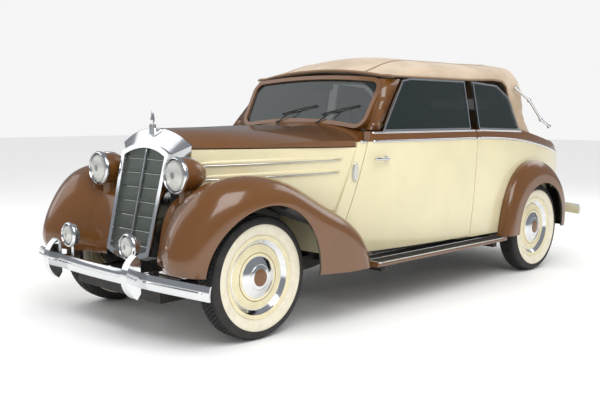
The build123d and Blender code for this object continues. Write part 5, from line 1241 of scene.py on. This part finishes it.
class CAB_OT_boards(bpy.types.Operator):
    """Make the rubber ribs and bright edges of the running boards"""
    bl_idname = "cab.boards"
    bl_label = "Running boards"

    def execute(self, context):
        trim = context.scene.cab_trim
        low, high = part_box("running_boards")
        tree = slat_tree("board_ribs", FINISHES["rubber"])
        length = high.y - low.y
        for side, mark in ((1, "left"), (-1, "right")):
            ribs = grown("ribs", tree, {
                "Bars": trim.board_ribs, "Start": (side * 0.745, (low.y + high.y) / 2, high.z + 0.0012),
                "Step": (side * 0.0072, 0.0, 0.0), "Bar": (0.0038, length - 0.10, 0.0044)})
            piece("board_ribs_" + mark, ribs, "chassis", "rubber", smooth=False)
            stations = [low.y + 0.01 + (length - 0.02) * k / 30 for k in range(31)]
            edge = [(Vector((side * (high.x - 0.0005), y, high.z - 0.0045)), Vector((side, 0, 0)))
                    for y in stations]
            trimmed = strip("edge", edge, 0.0030, 0.005, 0.002, 6)
            inner = [(Vector((side * 0.737, y, high.z)), Vector((0, 0, 1))) for y in stations]
            lip = strip("lip", inner, 0.003, 0.004, 0.002, 4)
            piece("board_edge_" + mark, [trimmed, lip], "chassis", "chrome")
        return {"FINISHED"}


# Side lamp: middle height and half sizes of its oval rim. Tail lamp: (x, z) on the rear fender.
SIDE_LAMP_Z, SIDE_LAMP_HALF = 0.862, (0.0195, 0.0545)
TAIL_LAMP = (0.745, 0.650)
HEADLAMP_X = 0.373


class CAB_OT_lamps(bpy.types.Operator):
    """Make the tail lamps, the rims of the side lamps and the crests on the headlamps"""
    bl_idname = "cab.lamps"
    bl_label = "Lamps"

    def execute(self, context):
        fender = surfaces("rear_fenders")
        for side, mark in ((1, "left"), (-1, "right")):
            hit = cast(fender, (side * TAIL_LAMP[0], 3.0, TAIL_LAMP[1]), (0, -1, 0))
            if hit:
                spot = hit[0]
                shell = ((-0.030, 0.004), (0.006, 0.001), (0.026, 0.0))
                path = [spot + Vector((0, y, z)) for y, z in shell]
                bowl = pipe("bowl", path, lambda t: 0.029 + 0.005 * sin(pi * t), 24, 3)
                path = [spot + Vector((0, y, 0)) for y in (0.024, 0.032, 0.038)]
                glass = pipe("glass", path, lambda t: 0.027 * (1 - 0.75 * t * t) + 0.001, 24, 5)
                piece("tail_bowl_" + mark, bowl, "chassis", "chrome")
                piece("tail_glass_" + mark, glass, "chassis", "red")
            centre = Vector((0, along(0.278), SIDE_LAMP_Z))
            ring = []
            for k in range(33):
                turn = 2 * pi * k / 32
                ring.append((centre.y + SIDE_LAMP_HALF[0] * cos(turn),
                             centre.z + SIDE_LAMP_HALF[1] * sin(turn)))
            path = side_path(surfaces("cowl", "hood_sides"), side, ring)
            if len(path) > 20:
                rim = strip("side_lamp_rim_" + mark, path, 0.004, 0.011, 0.003, 5)
                piece("side_lamp_rim_" + mark, rim, "chassis", "chrome")
            crest = surfaces("headlamp_shells")
            path = [cast(crest, (side * HEADLAMP_X, -1.862 + 0.006 * k, 1.2), (0, 0, -1))
                    for k in range(24)]
            path = [hit for hit in path if hit]
            if len(path) > 5:
                crest_strip = strip("lamp_crest_" + mark, path, 0.006, 0.007, 0.002, 5, 0.25)
                piece("lamp_crest_" + mark, crest_strip, "chassis", "chrome")
        return {"FINISHED"}


FLOOR_REACH = 30
FLOOR_STEPS = 24
# Soft lights: name, place, size and share of the key light's power.
LIGHTS = (("key", (3.5, -2.5, 5.0), 4.0, 1.0), ("fill", (-5.0, -4.0, 4.0), 5.0, 0.45),
          ("back", (1.0, 6.0, 4.5), 4.0, 0.4))
# The camera fitted to the photograph: place, then azimuth, pitch and roll in degrees, and the lens.
CAMERA_PLACE = (3.850, -4.480, 1.222)
CAMERA_ANGLES = (44.48, 6.25, 0.31)
CAMERA_LENS = 48.79


class CAB_OT_stage(bpy.types.Operator):
    """Set the floor, the lights and the camera"""
    bl_idname = "cab.stage"
    bl_label = "Stage"

    def execute(self, context):
        settings = context.scene.cab_stage
        floor = Finish("stage_floor")
        shade = floor.noise(0.6, 2.0, 0.5)
        base = tuple(settings.floor_colour)
        colour = floor.blend(shade * 0.08, base, tuple(c * 0.9 for c in base))
        FINISHES["floor"] = floor.close(Base_Color=colour, Roughness=0.85)
        row = FLOOR_STEPS + 1
        places = [-FLOOR_REACH + 2 * FLOOR_REACH * i / FLOOR_STEPS for i in range(row)]
        verts = [(x, y, 0.0) for x in places for y in places]
        corners = [i * row + k for i in range(FLOOR_STEPS) for k in range(FLOOR_STEPS)]
        faces = [(a, a + row, a + row + 1, a + 1) for a in corners]
        mesh = bpy.data.meshes.new("stage_floor")
        mesh.from_pydata(verts, [], faces)
        mesh.materials.append(FINISHES["floor"])
        ground = bpy.data.objects.new("stage_floor", mesh)
        context.scene.collection.objects.link(ground)
        world = bpy.data.worlds.new("stage_world")
        world.use_nodes = True
        context.scene.world = world
        tree = world.node_tree
        back = tree.nodes["Background"]
        back.inputs[0].default_value = (1.0, 1.0, 1.0, 1.0)
        back.inputs[1].default_value = 0.92
        dim = tree.nodes.new("ShaderNodeBackground")
        dim.inputs[0].default_value = (0.62, 0.66, 0.72, 1.0)
        dim.inputs[1].default_value = 0.42
        ray = tree.nodes.new("ShaderNodeLightPath")
        mixed = tree.nodes.new("ShaderNodeMixShader")
        tree.links.new(ray.outputs["Is Glossy Ray"], mixed.inputs[0])
        tree.links.new(back.outputs[0], mixed.inputs[1])
        tree.links.new(dim.outputs[0], mixed.inputs[2])
        tree.links.new(mixed.outputs[0], tree.nodes["World Output"].inputs[0])
        for name, place, size, share in LIGHTS:
            lamp = bpy.data.lights.new(name, "AREA")
            lamp.size = size
            lamp.energy = settings.key_power * share
            light = bpy.data.objects.new(name, lamp)
            light.location = place
            light.rotation_euler = (Vector((0, 0, 0.7)) - Vector(place)).to_track_quat("-Z", "Y").to_euler()
            context.scene.collection.objects.link(light)
        self.camera(context)
        context.scene.view_settings.view_transform = "Standard"
        return {"FINISHED"}

    def camera(self, context):
        """The camera at the photograph's angle."""
        azimuth, pitch, roll = (radians(angle) for angle in CAMERA_ANGLES)
        back = Vector((sin(azimuth) * cos(pitch), -cos(azimuth) * cos(pitch), sin(pitch)))
        level = (-back).cross(Vector((0, 0, 1))).normalized()
        up = level.cross(-back)
        right = level * cos(roll) + up * sin(roll)
        up = up * cos(roll) - level * sin(roll)
        data = bpy.data.cameras.new("photo_camera")
        data.sensor_width = 36.0
        data.lens = CAMERA_LENS
        camera = bpy.data.objects.new("photo_camera", data)
        turn = Matrix((right, up, back)).transposed().to_4x4()
        camera.matrix_world = Matrix.Translation(CAMERA_PLACE) @ turn
        context.scene.collection.objects.link(camera)
        context.scene.camera = camera


class CAB_PT_panel(bpy.types.Panel):
    """The dressing's settings and steps"""
    bl_idname = "CAB_PT_panel"
    bl_label = "Cabriolet"
    bl_space_type = "VIEW_3D"
    bl_region_type = "UI"
    bl_category = "Cabriolet"

    def draw(self, context):
        for key, group in GROUPS.items():
            box = self.layout.box()
            for prop in group.__annotations__:
                box.prop(getattr(context.scene, key), prop)
        for operator in OPERATORS:
            self.layout.operator(operator.bl_idname)


GROUPS = {"cab_paint": PaintSettings, "cab_trim": TrimSettings, "cab_tyres": TyreSettings,
          "cab_top": TopSettings, "cab_stage": StageSettings}
OPERATORS = (CAB_OT_finishes, CAB_OT_tyres, CAB_OT_soft_top, CAB_OT_seats, CAB_OT_side_trim,
             CAB_OT_front_trim, CAB_OT_boards, CAB_OT_lamps, CAB_OT_stage)


def register():
    for group in (*GROUPS.values(), *OPERATORS, CAB_PT_panel):
        bpy.utils.register_class(group)
    for key, group in GROUPS.items():
        setattr(bpy.types.Scene, key, PointerProperty(type=group))


def unregister():
    for key in GROUPS:
        delattr(bpy.types.Scene, key)
    for group in (CAB_PT_panel, *OPERATORS[::-1], *GROUPS.values()):
        bpy.utils.unregister_class(group)


def main():
    register()
    for operator in OPERATORS:
        prefix, name = operator.bl_idname.split(".")
        getattr(getattr(bpy.ops, prefix), name)()


if __name__ == "__main__":
    main()
